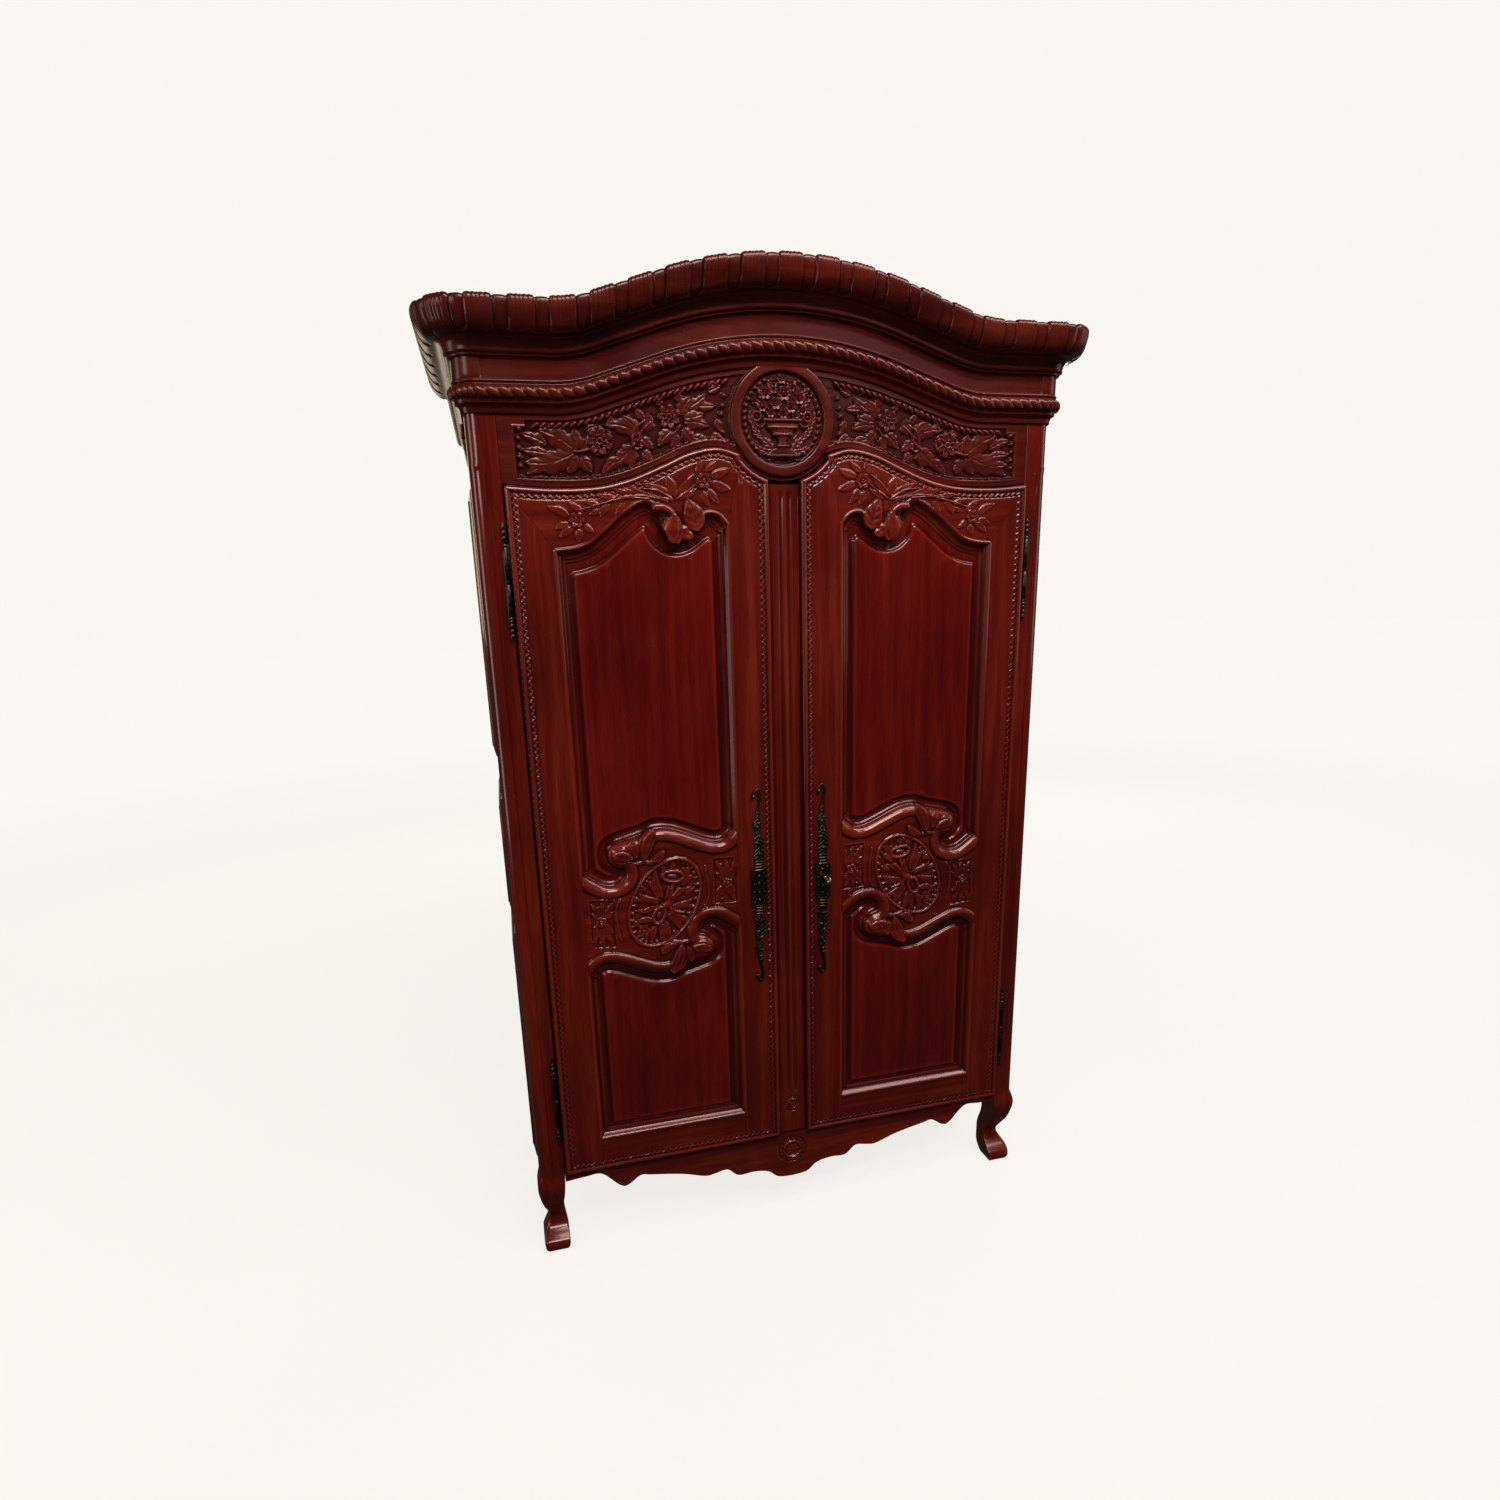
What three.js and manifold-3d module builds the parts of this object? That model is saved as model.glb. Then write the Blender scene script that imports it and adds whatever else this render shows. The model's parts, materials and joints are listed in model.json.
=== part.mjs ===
// Two-door French-country armoire: a framed and panelled case on cabriole feet, an arched moulded cornice,
// two framed doors on lift-off hinges, a false centre stile carried by the left door, and a keyed lock.
// Millimetres, +Z up, front towards -Y, origin at the middle of the base. Each sub-part is one closed solid.

import * as THREE from 'three';
import { mergeVertices } from 'three/addons/utils/BufferGeometryUtils.js';
import Module from 'manifold-3d';

const wasm = await Module();
wasm.setup();

// ---------------------------------------------------------------- driving dimensions

const GAP = 0.3;                 // clearance between touching pieces

// case
const CASE_HALF = 658;           // half width over the posts
const CASE_FRONT = -213;         // front plane of posts and frieze
const BACK = 293;                // back plane of the case
const POST_WIDE = 62;
const POST_DEEP = 60;
const POST_CORNER = 28;          // radius of the rounded outer front corner
const POST_FOOT_TOP = 227;       // where the rounded corner stops and the foot begins
const POST_INNER = CASE_HALF - POST_WIDE;
const SIDE_Y0 = CASE_FRONT + POST_DEEP;
const SIDE_Y1 = BACK - POST_DEEP;
const SIDE_THICK = 24;
const SIDE_INNER = CASE_HALF - SIDE_THICK;
const FLOOR_TOP = 230;           // upper face of apron and bottom board
const BOARD = 18;

// cornice: the crown's top edge is level at the ends and arched over the doors
const CROWN_SIDE = 2158;
const CROWN_RISE = 100;
const CROWN_PROUD = 80;          // how far the crown stands out from the case
const CORNICE_SEAT = 140;        // from the crown's top edge down to the top of the case
const CORNICE_HIGH = 190;        // from the crown's top edge down to the lowest moulding
const CASE_TOP = CROWN_SIDE - CORNICE_SEAT;

// doors
const DOOR_FACE = -231;
const DOOR_THICK = 30;
const DOOR_BACK = DOOR_FACE + DOOR_THICK;
const DOOR_INNER = 36.5;         // inner edge, measured from the middle of the front
const DOOR_OUTER = 593;
const DOOR_BOTTOM = 234;
const PANEL_INNER = 132;         // panel opening
const PANEL_OUTER = 500;
const SILL = 322;                // top of the bottom rail
const REBATE = 10;               // how far a panel enters its frame
const PANEL_FRONT = DOOR_FACE + 18;
const PANEL_THICK = 10;
const FIELD_RISE = 5;            // raised field of a door panel
const OUTER_MITRE = [PANEL_OUTER, 1705];  // where the top rail's mitres start on the panel opening
const INNER_MITRE = [PANEL_INNER, 1752];
const RAIL_CENTRE = [316, 914];  // the middle rail repeats itself when turned half round this point

// round medallion in the middle of the frieze
const MEDALLION_Z = 1967;
const MEDALLION_R = 116;
const MEDALLION_PROUD = 8;
const FRIEZE_THICK = 12;
const FRIEZE_ARC = 123;          // concave arc of the frieze's lower edge round the medallion
const DOOR_ARC = 127;            // concave arc of the doors' upper inner corners
const DOOR_TOP_GAP = 4;

// hinges
const HINGE_X = 602;
const HINGE_Y = -222;
const HINGE_R = 6;
const PIN_R = 3;
const HINGE_HALF = 120;
const HINGE_HEIGHTS = { upper: 1645, lower: 439 };
const LEAF = 2.5;
const LEAF_HEIGHT = [6, 76];     // a leaf's reach from the middle of its hinge
const LEAF_IN_POST = 34;
const LEAF_IN_DOOR = 28;

// lock, key and bolts
const LOCK_X = 81;
const LOCK_Z = 926;              // middle of the escutcheons
const KEY_Z = 939;
const KEY_R = 3;
const KEY_BIT = 10;              // how far the key's bit hangs below its shank's middle
const KEY_HOLE_R = 5;
const BACKSET_Y = -194;          // middle of the lock's works, behind the door

// inside fittings
const SHELF_Z = 1600;
const ROD_Y = 45;
const ROD_Z = 1540;
const ROD_R = 12.5;
const CLEAT = { x: 604, y: [-120, 215], bottom: 1505 };

// ---------------------------------------------------------------- solids

function toSolid(geometry) {
  const bare = geometry.clone();
  bare.deleteAttribute('normal');
  bare.deleteAttribute('uv');
  const welded = mergeVertices(bare, 1e-4);
  return new wasm.Manifold(new wasm.Mesh({
    numProp: 3,
    vertProperties: new Float32Array(welded.attributes.position.array),
    triVerts: new Uint32Array(welded.index.array),
  }));
}

function toGeometry(solid) {
  const mesh = solid.getMesh();
  const geometry = new THREE.BufferGeometry();
  geometry.setAttribute('position', new THREE.BufferAttribute(mesh.vertProperties, 3));
  geometry.setIndex(new THREE.BufferAttribute(mesh.triVerts, 1));
  return geometry;
}

function box([x0, x1], [y0, y1], [z0, z1]) {
  const geometry = new THREE.BoxGeometry(Math.abs(x1 - x0), Math.abs(y1 - y0), Math.abs(z1 - z0));
  geometry.translate((x0 + x1) / 2, (y0 + y1) / 2, (z0 + z1) / 2);
  return toSolid(geometry);
}

function extrude(outline, depth) {
  const shape = new THREE.Shape(outline.map(([a, b]) => new THREE.Vector2(a, b)));
  return new THREE.ExtrudeGeometry(shape, { depth, bevelEnabled: false });
}

// outline in x, z carried along y
function prismY(outline, y0, y1) {
  const geometry = extrude(outline, y1 - y0);
  geometry.rotateX(Math.PI / 2);
  geometry.translate(0, y1, 0);
  return toSolid(geometry);
}

// outline in y, z carried along x
function prismX(outline, x0, x1) {
  const geometry = extrude(outline, Math.abs(x1 - x0));
  const turn = new THREE.Matrix4().makeBasis(
    new THREE.Vector3(0, 1, 0), new THREE.Vector3(0, 0, 1), new THREE.Vector3(1, 0, 0));
  geometry.applyMatrix4(turn);
  geometry.translate(Math.min(x0, x1), 0, 0);
  return toSolid(geometry);
}

// outline in x, y carried along z
function prismZ(outline, z0, z1) {
  const geometry = extrude(outline, z1 - z0);
  geometry.translate(0, 0, z0);
  return toSolid(geometry);
}

function cylinder(axis, centre, radius, length, sides = 24) {
  const geometry = new THREE.CylinderGeometry(radius, radius, length, sides);
  if (axis === 'x') geometry.rotateZ(Math.PI / 2);
  if (axis === 'z') geometry.rotateX(Math.PI / 2);
  geometry.translate(...centre);
  return toSolid(geometry);
}

// turned shape: profile of [radius, height] about a vertical axis
function turned(profile, [x, y, z], sides) {
  const geometry = new THREE.LatheGeometry(profile.map(([r, h]) => new THREE.Vector2(r, h)), sides);
  geometry.rotateX(Math.PI / 2);
  geometry.translate(x, y, z);
  return toSolid(geometry);
}

function spline(points, count) {
  const curve = new THREE.SplineCurve(points.map(([a, b]) => new THREE.Vector2(a, b)));
  return curve.getPoints(count).map((p) => [p.x, p.y]);
}

function arc([cx, cz], radius, from, to, count) {
  const points = [];
  for (let i = 0; i <= count; i += 1) {
    const angle = from + ((to - from) * i) / count;
    points.push([cx + radius * Math.cos(angle), cz + radius * Math.sin(angle)]);
  }
  return points;
}

const mirrored = (outline, side) => outline.map(([x, z]) => [x * side, z]);
const shifted = (outline, dx, dz) => outline.map(([x, z]) => [x + dx, z + dz]);
const sided = ([x0, x1], side) => [x0 * side, x1 * side];

// a section of [outward, height] points carried along stations, with flat ends
function sweep(section, stations) {
  const points = [];
  const faces = [];
  const n = section.length;
  for (const { x, y, nx, ny, z } of stations) {
    for (const [out, up] of section) points.push(x + nx * out, y + ny * out, z + up);
  }
  for (let s = 0; s + 1 < stations.length; s += 1) {
    for (let i = 0; i < n; i += 1) {
      const a = s * n + i;
      const b = s * n + ((i + 1) % n);
      faces.push(a, b + n, b, a, a + n, b + n);
    }
  }
  const last = (stations.length - 1) * n;
  const flat = section.map(([out, up]) => new THREE.Vector2(out, up));
  for (const [a, b, c] of THREE.ShapeUtils.triangulateShape(flat, [])) {
    faces.push(a, b, c, last + a, last + c, last + b);
  }
  const geometry = new THREE.BufferGeometry();
  geometry.setAttribute('position', new THREE.Float32BufferAttribute(points, 3));
  geometry.setIndex(faces);
  return toSolid(geometry);
}

// ---------------------------------------------------------------- materials and assembly

const MATERIALS = {
  mahogany: { color: 0x6b1c14, roughness: 0.38, metalness: 0 },
  mahogany_panel: { color: 0x5a1210, roughness: 0.34, metalness: 0 },
  inner_wood: { color: 0x7a4a2c, roughness: 0.6, metalness: 0 },
  bronze: { color: 0x3a3328, roughness: 0.45, metalness: 0.8 },
  brass: { color: 0xb08d4a, roughness: 0.35, metalness: 0.9 },
  steel: { color: 0x8a8a88, roughness: 0.4, metalness: 0.9 },
};

const armoire = new THREE.Group();
armoire.name = 'armoire';

function add(name, solid, material, parent = armoire) {
  const mesh = new THREE.Mesh(toGeometry(solid), new THREE.MeshStandardMaterial(MATERIALS[material]));
  mesh.name = name;
  parent.add(mesh);
}

const SIDES = [['left', -1], ['right', 1]];

// ---------------------------------------------------------------- shared curves (right half)

// height of the crown's top edge above its level ends
function crownLift(x) {
  const slope = 0.33;
  const radius = 850;
  const straightFrom = radius * Math.sin(Math.atan(slope));
  const dropAtStraight = radius * (1 - Math.cos(Math.atan(slope)));
  const straightTo = 395;
  const dropAtTail = dropAtStraight + slope * (straightTo - straightFrom);
  const tail = (2 * (CROWN_RISE - dropAtTail)) / slope;
  const u = Math.abs(x);
  if (u < straightFrom) return CROWN_RISE - (radius - Math.sqrt(radius * radius - u * u));
  if (u < straightTo) return CROWN_RISE - dropAtStraight - slope * (u - straightFrom);
  if (u < straightTo + tail) {
    const left = 1 - (u - straightTo) / tail;
    return (CROWN_RISE - dropAtTail) * left * left;
  }
  return 0;
}

// the doors' upper edge, from the outer corner to the corner beside the medallion
const doorTop = spline([
  [DOOR_OUTER, 1834], [500, 1828], [410, 1831], [340, 1846], [270, 1873], [210, 1898], [150, 1909], [98, 1896],
], 22);
const arcAngle = (x, radius) => -Math.acos(x / radius);
const doorArc = arc([0, MEDALLION_Z], DOOR_ARC, arcAngle(99, DOOR_ARC), arcAngle(DOOR_INNER, DOOR_ARC), 7);

// upper edge of the upper panel opening, from the inner stile to the outer stile, with its hanging leaf
const openingTop = spline([
  INNER_MITRE, [150, 1772], [175, 1777], [205, 1762], [235, 1742], [258, 1745], [275, 1780],
  [302, 1801], [330, 1794], [363, 1772], [396, 1745], [429, 1720], [461, 1709], OUTER_MITRE,
], 39);

// upper edge of the middle rail, with its hooked scroll, from the inner stile to the outer stile
const railTop = spline([
  [PANEL_INNER, 1068], [152, 1049], [175, 1041], [205, 1046], [250, 1065], [290, 1081], [325, 1084],
  [352, 1074], [395, 1063], [424, 1053], [428, 1032], [414, 1018], [394, 1010], [390, 990], [400, 970],
  [425, 959], [452, 962], [480, 979], [PANEL_OUTER, 994],
], 54);
const halfTurn = ([x, z]) => [2 * RAIL_CENTRE[0] - x, 2 * RAIL_CENTRE[1] - z];
const railBottom = railTop.map(halfTurn);

// simple outlines of the two panel plates, which are hidden in their rebates
const UPPER_PLATE_BOTTOM = 950;
const upperPlate = [
  [PANEL_INNER - REBATE, UPPER_PLATE_BOTTOM], [PANEL_OUTER + REBATE, UPPER_PLATE_BOTTOM],
  [PANEL_OUTER + REBATE, 1717], [440, 1726], [400, 1756], [350, 1796], [302, 1812], [260, 1806],
  [200, 1790], [150, 1786], [PANEL_INNER - REBATE, 1768],
];
const LOWER_PLATE_TOP = 2 * RAIL_CENTRE[1] - UPPER_PLATE_BOTTOM;
const lowerPlate = [
  [PANEL_INNER - REBATE, SILL - REBATE], [PANEL_OUTER + REBATE, SILL - REBATE],
  [PANEL_OUTER + REBATE, LOWER_PLATE_TOP], [PANEL_INNER - REBATE, LOWER_PLATE_TOP],
];

// ---------------------------------------------------------------- posts and feet

// cabriole foot sawn from two faces: [height, offset from the post's outer or front face]
const FOOT_OUTER = [[227, 0], [194, -7], [159, -3], [134, 3], [109, 10], [86, 14], [69, 12], [52, 3],
  [39, -3], [19, -2], [0, 1]];
const FOOT_INNER = [[0, 54], [19, 60], [36, 61], [69, 56], [99, 54], [134, 53], [174, 58], [227, 62]];
const FOOT_FRONT = [[227, 0], [194, -5], [159, 4], [134, 14], [109, 30], [86, 45], [69, 47], [54, 38],
  [39, 18], [29, 7], [15, 3], [0, 16]];
const FOOT_REAR = [[0, 66], [19, 72], [44, 84], [74, 91], [94, 90], [134, 76], [184, 62], [227, 60]];

function footOutline(first, second, place) {
  const loop = [...spline(first, 16), ...spline(second, 12)];
  return loop.map(([height, offset]) => [place(offset), height]);
}

function postSection(side, front) {
  const outer = CASE_HALF;
  const inner = POST_INNER;
  if (!front) return mirrored([[inner, SIDE_Y1], [outer, SIDE_Y1], [outer, BACK], [inner, BACK]], side);
  const corner = arc([outer - POST_CORNER, CASE_FRONT + POST_CORNER], POST_CORNER, -Math.PI / 2, 0, 6);
  return mirrored([[inner, CASE_FRONT], ...corner, [outer, SIDE_Y0], [inner, SIDE_Y0]], side);
}

// side panels: [name, lowest, highest] of each opening between the side rails
const SIDE_OPENINGS = [['lower', 246, 858], ['middle', 900, 1183], ['upper', 1271, 1840]];
const SIDE_GROOVE = 8;
const SIDE_PLATE = [641, 651];
const SIDE_FIELD = 667;
const SIDE_FIELD_MARGIN = 4;
const TENON = 22;
const SIDE_TENON_X = [644, 652];
const SIDE_TENON_INSET = 14;

function sidePlate(side, z0, z1, grow = 0) {
  return box(
    sided([SIDE_PLATE[0] - grow, SIDE_PLATE[1] + grow], side),
    [SIDE_Y0 - SIDE_GROOVE - grow, SIDE_Y1 + SIDE_GROOVE + grow],
    [z0 - SIDE_GROOVE - grow, z1 + SIDE_GROOVE + grow]);
}

// side rails: [name, lowest, highest]; each has a tenon in both posts
const SIDE_RAILS = [['bottom', 160, 246], ['lower', 858, 900], ['upper', 1183, 1271], ['top', 1840, CASE_TOP]];

function sideTenon(side, z0, z1, grow = 0) {
  const inset = Math.min(SIDE_TENON_INSET, (z1 - z0) / 4);
  return box(
    sided([SIDE_TENON_X[0] - grow, SIDE_TENON_X[1] + grow], side),
    [SIDE_Y0 - TENON - grow, SIDE_Y1 + TENON + grow],
    [z0 + inset - grow, z1 - inset + grow]);
}

// frieze and apron tenons in the front posts
const FRONT_TENON = { frieze: [1920, 1990], apron: [212, 226] };
const FRONT_TENON_Y = { frieze: [-210, -204], apron: [-208, -198] };

function frontTenon(name, grow = 0) {
  const [y0, y1] = FRONT_TENON_Y[name];
  const [z0, z1] = FRONT_TENON[name];
  const reach = POST_INNER + TENON + grow;
  return box([-reach, reach], [y0 - grow, y1 + grow], [z0 - grow, z1 + grow]);
}

// the case half of a hinge is let into a slot in the post, the door half into the door's edge
function frameLeaf(side, z, grow = 0) {
  return box(
    sided([HINGE_X - LEAF / 2 - grow, HINGE_X + LEAF / 2 + grow], side),
    [HINGE_Y + PIN_R - 1, CASE_FRONT + LEAF_IN_POST + grow],
    [z - LEAF_HEIGHT[1] - grow, z - LEAF_HEIGHT[0] + grow]);
}

function doorLeaf(side, z, grow = 0) {
  return box(
    sided([DOOR_OUTER - LEAF_IN_DOOR - grow, HINGE_X - PIN_R - 1], side),
    [HINGE_Y - LEAF / 2 - grow, HINGE_Y + LEAF / 2 + grow],
    [z + LEAF_HEIGHT[0] - grow, z + LEAF_HEIGHT[1] + grow]);
}

const BACK_REBATE = { x: 604, y0: 280.7, thick: 10 };
const RAIL_ROOM = [152, 240];    // heights at which the side's bottom rail stands behind the front foot

function backPanel(grow = 0) {
  return box(
    [-BACK_REBATE.x - grow, BACK_REBATE.x + grow],
    [BACK_REBATE.y0 + GAP - grow, BACK_REBATE.y0 + GAP + BACK_REBATE.thick + grow],
    [FLOOR_TOP - 2, CASE_TOP - GAP]);
}

function post(side, front) {
  let solid = prismZ(postSection(side, front), POST_FOOT_TOP - 1, CASE_TOP - GAP);
  const across = prismY(
    footOutline(FOOT_OUTER, FOOT_INNER, (offset) => (CASE_HALF - offset) * side),
    front ? CASE_FRONT - 10 : SIDE_Y1, front ? SIDE_Y0 + 40 : BACK);
  const along = prismX(
    footOutline(FOOT_FRONT, FOOT_REAR, (offset) => CASE_FRONT + offset),
    (POST_INNER - 20) * side, (CASE_HALF + 20) * side);
  const railRoom = box(sided([POST_INNER - 30, CASE_HALF + 30], side), [SIDE_Y0, SIDE_Y0 + 60], RAIL_ROOM);
  solid = solid.add(front ? across.intersect(along).subtract(railRoom) : across);
  for (const [, z0, z1] of SIDE_OPENINGS) solid = solid.subtract(sidePlate(side, z0, z1, GAP));
  for (const [, z0, z1] of SIDE_RAILS) solid = solid.subtract(sideTenon(side, z0, z1, GAP));
  if (!front) return solid.subtract(backPanel(GAP));
  solid = solid.subtract(frontTenon('frieze', GAP)).subtract(frontTenon('apron', GAP));
  for (const z of Object.values(HINGE_HEIGHTS)) solid = solid.subtract(frameLeaf(side, z, GAP));
  return solid;
}

for (const [name, side] of SIDES) {
  add(`front_${name}_post`, post(side, true), 'mahogany');
  add(`rear_${name}_post`, post(side, false), 'mahogany');
}

// ---------------------------------------------------------------- sides, bottom, back

// wavy lower edge of a side's bottom rail: [depth, height]
const SIDE_WAVE = [[SIDE_Y0, 160], [-110, 166], [-75, 188], [-20, 180], [40, 164], [100, 180], [155, 188],
  [190, 166], [SIDE_Y1, 160]];
const SIDE_BLOCK = { margin: 12, z: [1933, 1962] };

function sideRail(side, name, z0, z1) {
  const top = name === 'top' ? z1 - GAP : z1;
  let solid = box(sided([SIDE_INNER, CASE_HALF], side), [SIDE_Y0 + GAP, SIDE_Y1 - GAP], [z0, top]);
  if (name === 'bottom') {
    const below = [[SIDE_Y1 + 1, z0 - 10], [SIDE_Y0 - 1, z0 - 10]];
    solid = solid.subtract(prismX(
      [...spline(SIDE_WAVE, 24), ...below], (SIDE_INNER - 1) * side, (CASE_HALF + 1) * side));
  }
  if (name === 'top') {
    solid = solid.add(box(
      sided([CASE_HALF - 1, SIDE_FIELD], side),
      [SIDE_Y0 + SIDE_BLOCK.margin, SIDE_Y1 - SIDE_BLOCK.margin], SIDE_BLOCK.z));
  }
  for (const [, low, high] of SIDE_OPENINGS) solid = solid.subtract(sidePlate(side, low, high, GAP));
  return solid.add(sideTenon(side, z0, z1));
}

function sidePanel(side, z0, z1) {
  const margin = SIDE_FIELD_MARGIN;
  const field = box(
    sided([SIDE_PLATE[1] - 1, SIDE_FIELD], side),
    [SIDE_Y0 + margin, SIDE_Y1 - margin], [z0 + margin, z1 - margin]);
  return sidePlate(side, z0, z1).add(field);
}

for (const [name, side] of SIDES) {
  for (const [level, z0, z1] of SIDE_RAILS) {
    add(`${name}_${level}_rail`, sideRail(side, level, z0, z1), 'mahogany');
  }
  for (const [level, z0, z1] of SIDE_OPENINGS) {
    add(`${name}_${level}_panel`, sidePanel(side, z0, z1), 'mahogany_panel');
  }
}

// scalloped lower edge of the apron, from the post to the middle
const APRON_EDGE = [[POST_INNER - GAP, 205], [545, 209], [505, 208], [462, 166], [440, 163], [408, 183],
  [380, 179], [300, 163], [240, 144], [212, 146], [180, 150], [150, 127], [110, 128], [70, 121], [40, 99],
  [0, 94]];
const APRON_THICK = 20;

function frontApron() {
  const half = spline(APRON_EDGE, 36);
  const other = mirrored(half, -1).reverse().slice(1);
  const outline = [...half, ...other, [-POST_INNER + GAP, FLOOR_TOP], [POST_INNER - GAP, FLOOR_TOP]];
  return prismY(outline, CASE_FRONT, CASE_FRONT + APRON_THICK).add(frontTenon('apron'));
}

add('front_apron', frontApron(), 'mahogany');

const between = POST_INNER - GAP;
const floorY0 = CASE_FRONT + APRON_THICK + GAP;
const innerBack = BACK_REBATE.y0;

function innerBoard(front, z0, z1) {
  const wide = SIDE_INNER - GAP;
  const middle = box([-between, between], [front, innerBack], [z0, z1]);
  return middle.add(box([-wide, wide], [SIDE_Y0 + GAP, SIDE_Y1 - GAP], [z0, z1]));
}

add('bottom_board', innerBoard(floorY0, FLOOR_TOP - BOARD, FLOOR_TOP), 'inner_wood');
add('back_panel', backPanel(), 'inner_wood');
const BACK_RAIL = { y0: 262, z0: 150 };
add('back_bottom_rail', box(
  [-between, between], [BACK_RAIL.y0, innerBack], [BACK_RAIL.z0, FLOOR_TOP - BOARD - GAP]), 'inner_wood');

// ---------------------------------------------------------------- frieze

const FRIEZE_ARC_FROM = 94;      // where the arc leaves the line over the doors

function friezeBoard() {
  const reach = POST_INNER - GAP;
  const lower = [
    ...shifted(doorTop, 0, DOOR_TOP_GAP).slice(1),
    [FRIEZE_ARC_FROM, doorTop[doorTop.length - 1][1] + DOOR_TOP_GAP / 2],
    ...arc([0, MEDALLION_Z], FRIEZE_ARC, arcAngle(FRIEZE_ARC_FROM, FRIEZE_ARC), -Math.PI / 2, 10),
  ];
  const lowerAll = [[reach, doorTop[0][1] + DOOR_TOP_GAP], ...lower];
  lowerAll.push(...mirrored(lowerAll, -1).reverse().slice(1));
  const upper = [];
  for (let x = -reach; x <= reach + 1e-6; x += (2 * reach) / 40) {
    upper.push([x, CASE_TOP + crownLift(x) - GAP]);
  }
  const board = prismY([...lowerAll, ...upper], CASE_FRONT, CASE_FRONT + FRIEZE_THICK);
  const boss = cylinder(
    'y', [0, CASE_FRONT - MEDALLION_PROUD / 2 + 1, MEDALLION_Z], MEDALLION_R, MEDALLION_PROUD + 2, 40);
  const underCornice = [];
  for (let x = -MEDALLION_R - 5; x <= MEDALLION_R + 5; x += 11) {
    underCornice.push([x, CROWN_SIDE + crownLift(x) - CORNICE_HIGH - GAP]);
  }
  underCornice.push([MEDALLION_R + 5, CROWN_SIDE], [-MEDALLION_R - 5, CROWN_SIDE]);
  const trimmed = boss.subtract(prismY(underCornice, CASE_FRONT - MEDALLION_PROUD - 5, CASE_FRONT));
  return board.add(trimmed).add(frontTenon('frieze'));
}

add('frieze_board', friezeBoard(), 'mahogany');

// ---------------------------------------------------------------- cornice and top

const CORNICE_INSIDE = 18;       // how far the cornice reaches in over the case
const TOP_THICK = 16;

// section of the cornice: [outward from the case, height below the crown's top edge]
const CORNICE_SECTION = [
  [-CORNICE_INSIDE, -12], [-CORNICE_INSIDE, -CORNICE_SEAT + GAP],
  [GAP, -CORNICE_SEAT + GAP], [GAP, -CORNICE_HIGH], [5, -CORNICE_HIGH], [6, -183],
  [16, -173], [17, -166], [25, -160], [27, -153], [25, -146], [17, -140], [19, -132], [14, -129],
  [14, -92], [22, -90], [28, -83], [31, -68], [45, -57], [60, -52], [72, -40], [79, -22],
  [CROWN_PROUD, -10], [76, -1], [66, 0],
];

const CORNER_STEPS = 6;
const ARCHED_HALF = 500;
const ARCH_STEPS = 20;

function corniceFront() {
  const straight = CASE_HALF - POST_CORNER;
  const stations = [];
  const turn = (side, k) => {
    const angle = (side * (Math.PI / 2) * k) / CORNER_STEPS;
    stations.push({
      x: side * straight + POST_CORNER * Math.sin(angle),
      y: CASE_FRONT + POST_CORNER - POST_CORNER * Math.cos(angle),
      nx: Math.sin(angle),
      ny: -Math.cos(angle),
      z: CROWN_SIDE,
    });
  };
  for (let k = CORNER_STEPS; k >= 0; k -= 1) turn(-1, k);
  for (let k = -ARCH_STEPS; k <= ARCH_STEPS; k += 1) {
    const x = (ARCHED_HALF * k) / ARCH_STEPS;
    stations.push({ x, y: CASE_FRONT, nx: 0, ny: -1, z: CROWN_SIDE + crownLift(x) });
  }
  for (let k = 0; k <= CORNER_STEPS; k += 1) turn(1, k);
  return sweep(CORNICE_SECTION, stations);
}

function corniceSide(side) {
  const ends = [CASE_FRONT + POST_CORNER + GAP, BACK];
  if (side < 0) ends.reverse();
  return sweep(CORNICE_SECTION, ends.map((y) => ({
    x: CASE_HALF * side, y, nx: side, ny: 0, z: CROWN_SIDE,
  })));
}

add('cornice_front', corniceFront(), 'mahogany');
for (const [name, side] of SIDES) add(`cornice_${name}`, corniceSide(side), 'mahogany');

const topReach = CASE_HALF - CORNICE_INSIDE - GAP;
const topFront = CASE_FRONT + CORNICE_INSIDE + GAP;
const TOP_CORNER = 12;
add('top_board', prismZ([
  [-topReach, topFront + TOP_CORNER], [-topReach + TOP_CORNER, topFront], [topReach - TOP_CORNER, topFront],
  [topReach, topFront + TOP_CORNER], [topReach, BACK - 1], [-topReach, BACK - 1],
], CASE_TOP + GAP, CASE_TOP + TOP_THICK), 'inner_wood');

// ---------------------------------------------------------------- shelf and hanging rod

add('hat_shelf', innerBoard(SIDE_Y0 + GAP, SHELF_Z, SHELF_Z + BOARD), 'inner_wood');
for (const [name, side] of SIDES) {
  const cleat = box(sided([CLEAT.x, SIDE_INNER - GAP], side), CLEAT.y, [CLEAT.bottom, SHELF_Z - GAP]);
  const socket = cylinder('x', [SIDE_INNER * side, ROD_Y, ROD_Z], ROD_R + 0.8, 2 * (SIDE_INNER - CLEAT.x) + 2);
  add(`${name}_shelf_cleat`, cleat.subtract(socket), 'inner_wood');
}
add('hanging_rod', cylinder('x', [0, ROD_Y, ROD_Z], ROD_R, 2 * (SIDE_INNER - 4)), 'steel');

// ---------------------------------------------------------------- doors

const hingeStileOutline = [
  [DOOR_OUTER, DOOR_BOTTOM], doorTop[0], OUTER_MITRE, [PANEL_OUTER, DOOR_BOTTOM],
];
const lockStileOutline = [
  [DOOR_INNER, DOOR_BOTTOM], [PANEL_INNER, DOOR_BOTTOM], INNER_MITRE, doorTop[doorTop.length - 1], ...doorArc,
];

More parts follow.
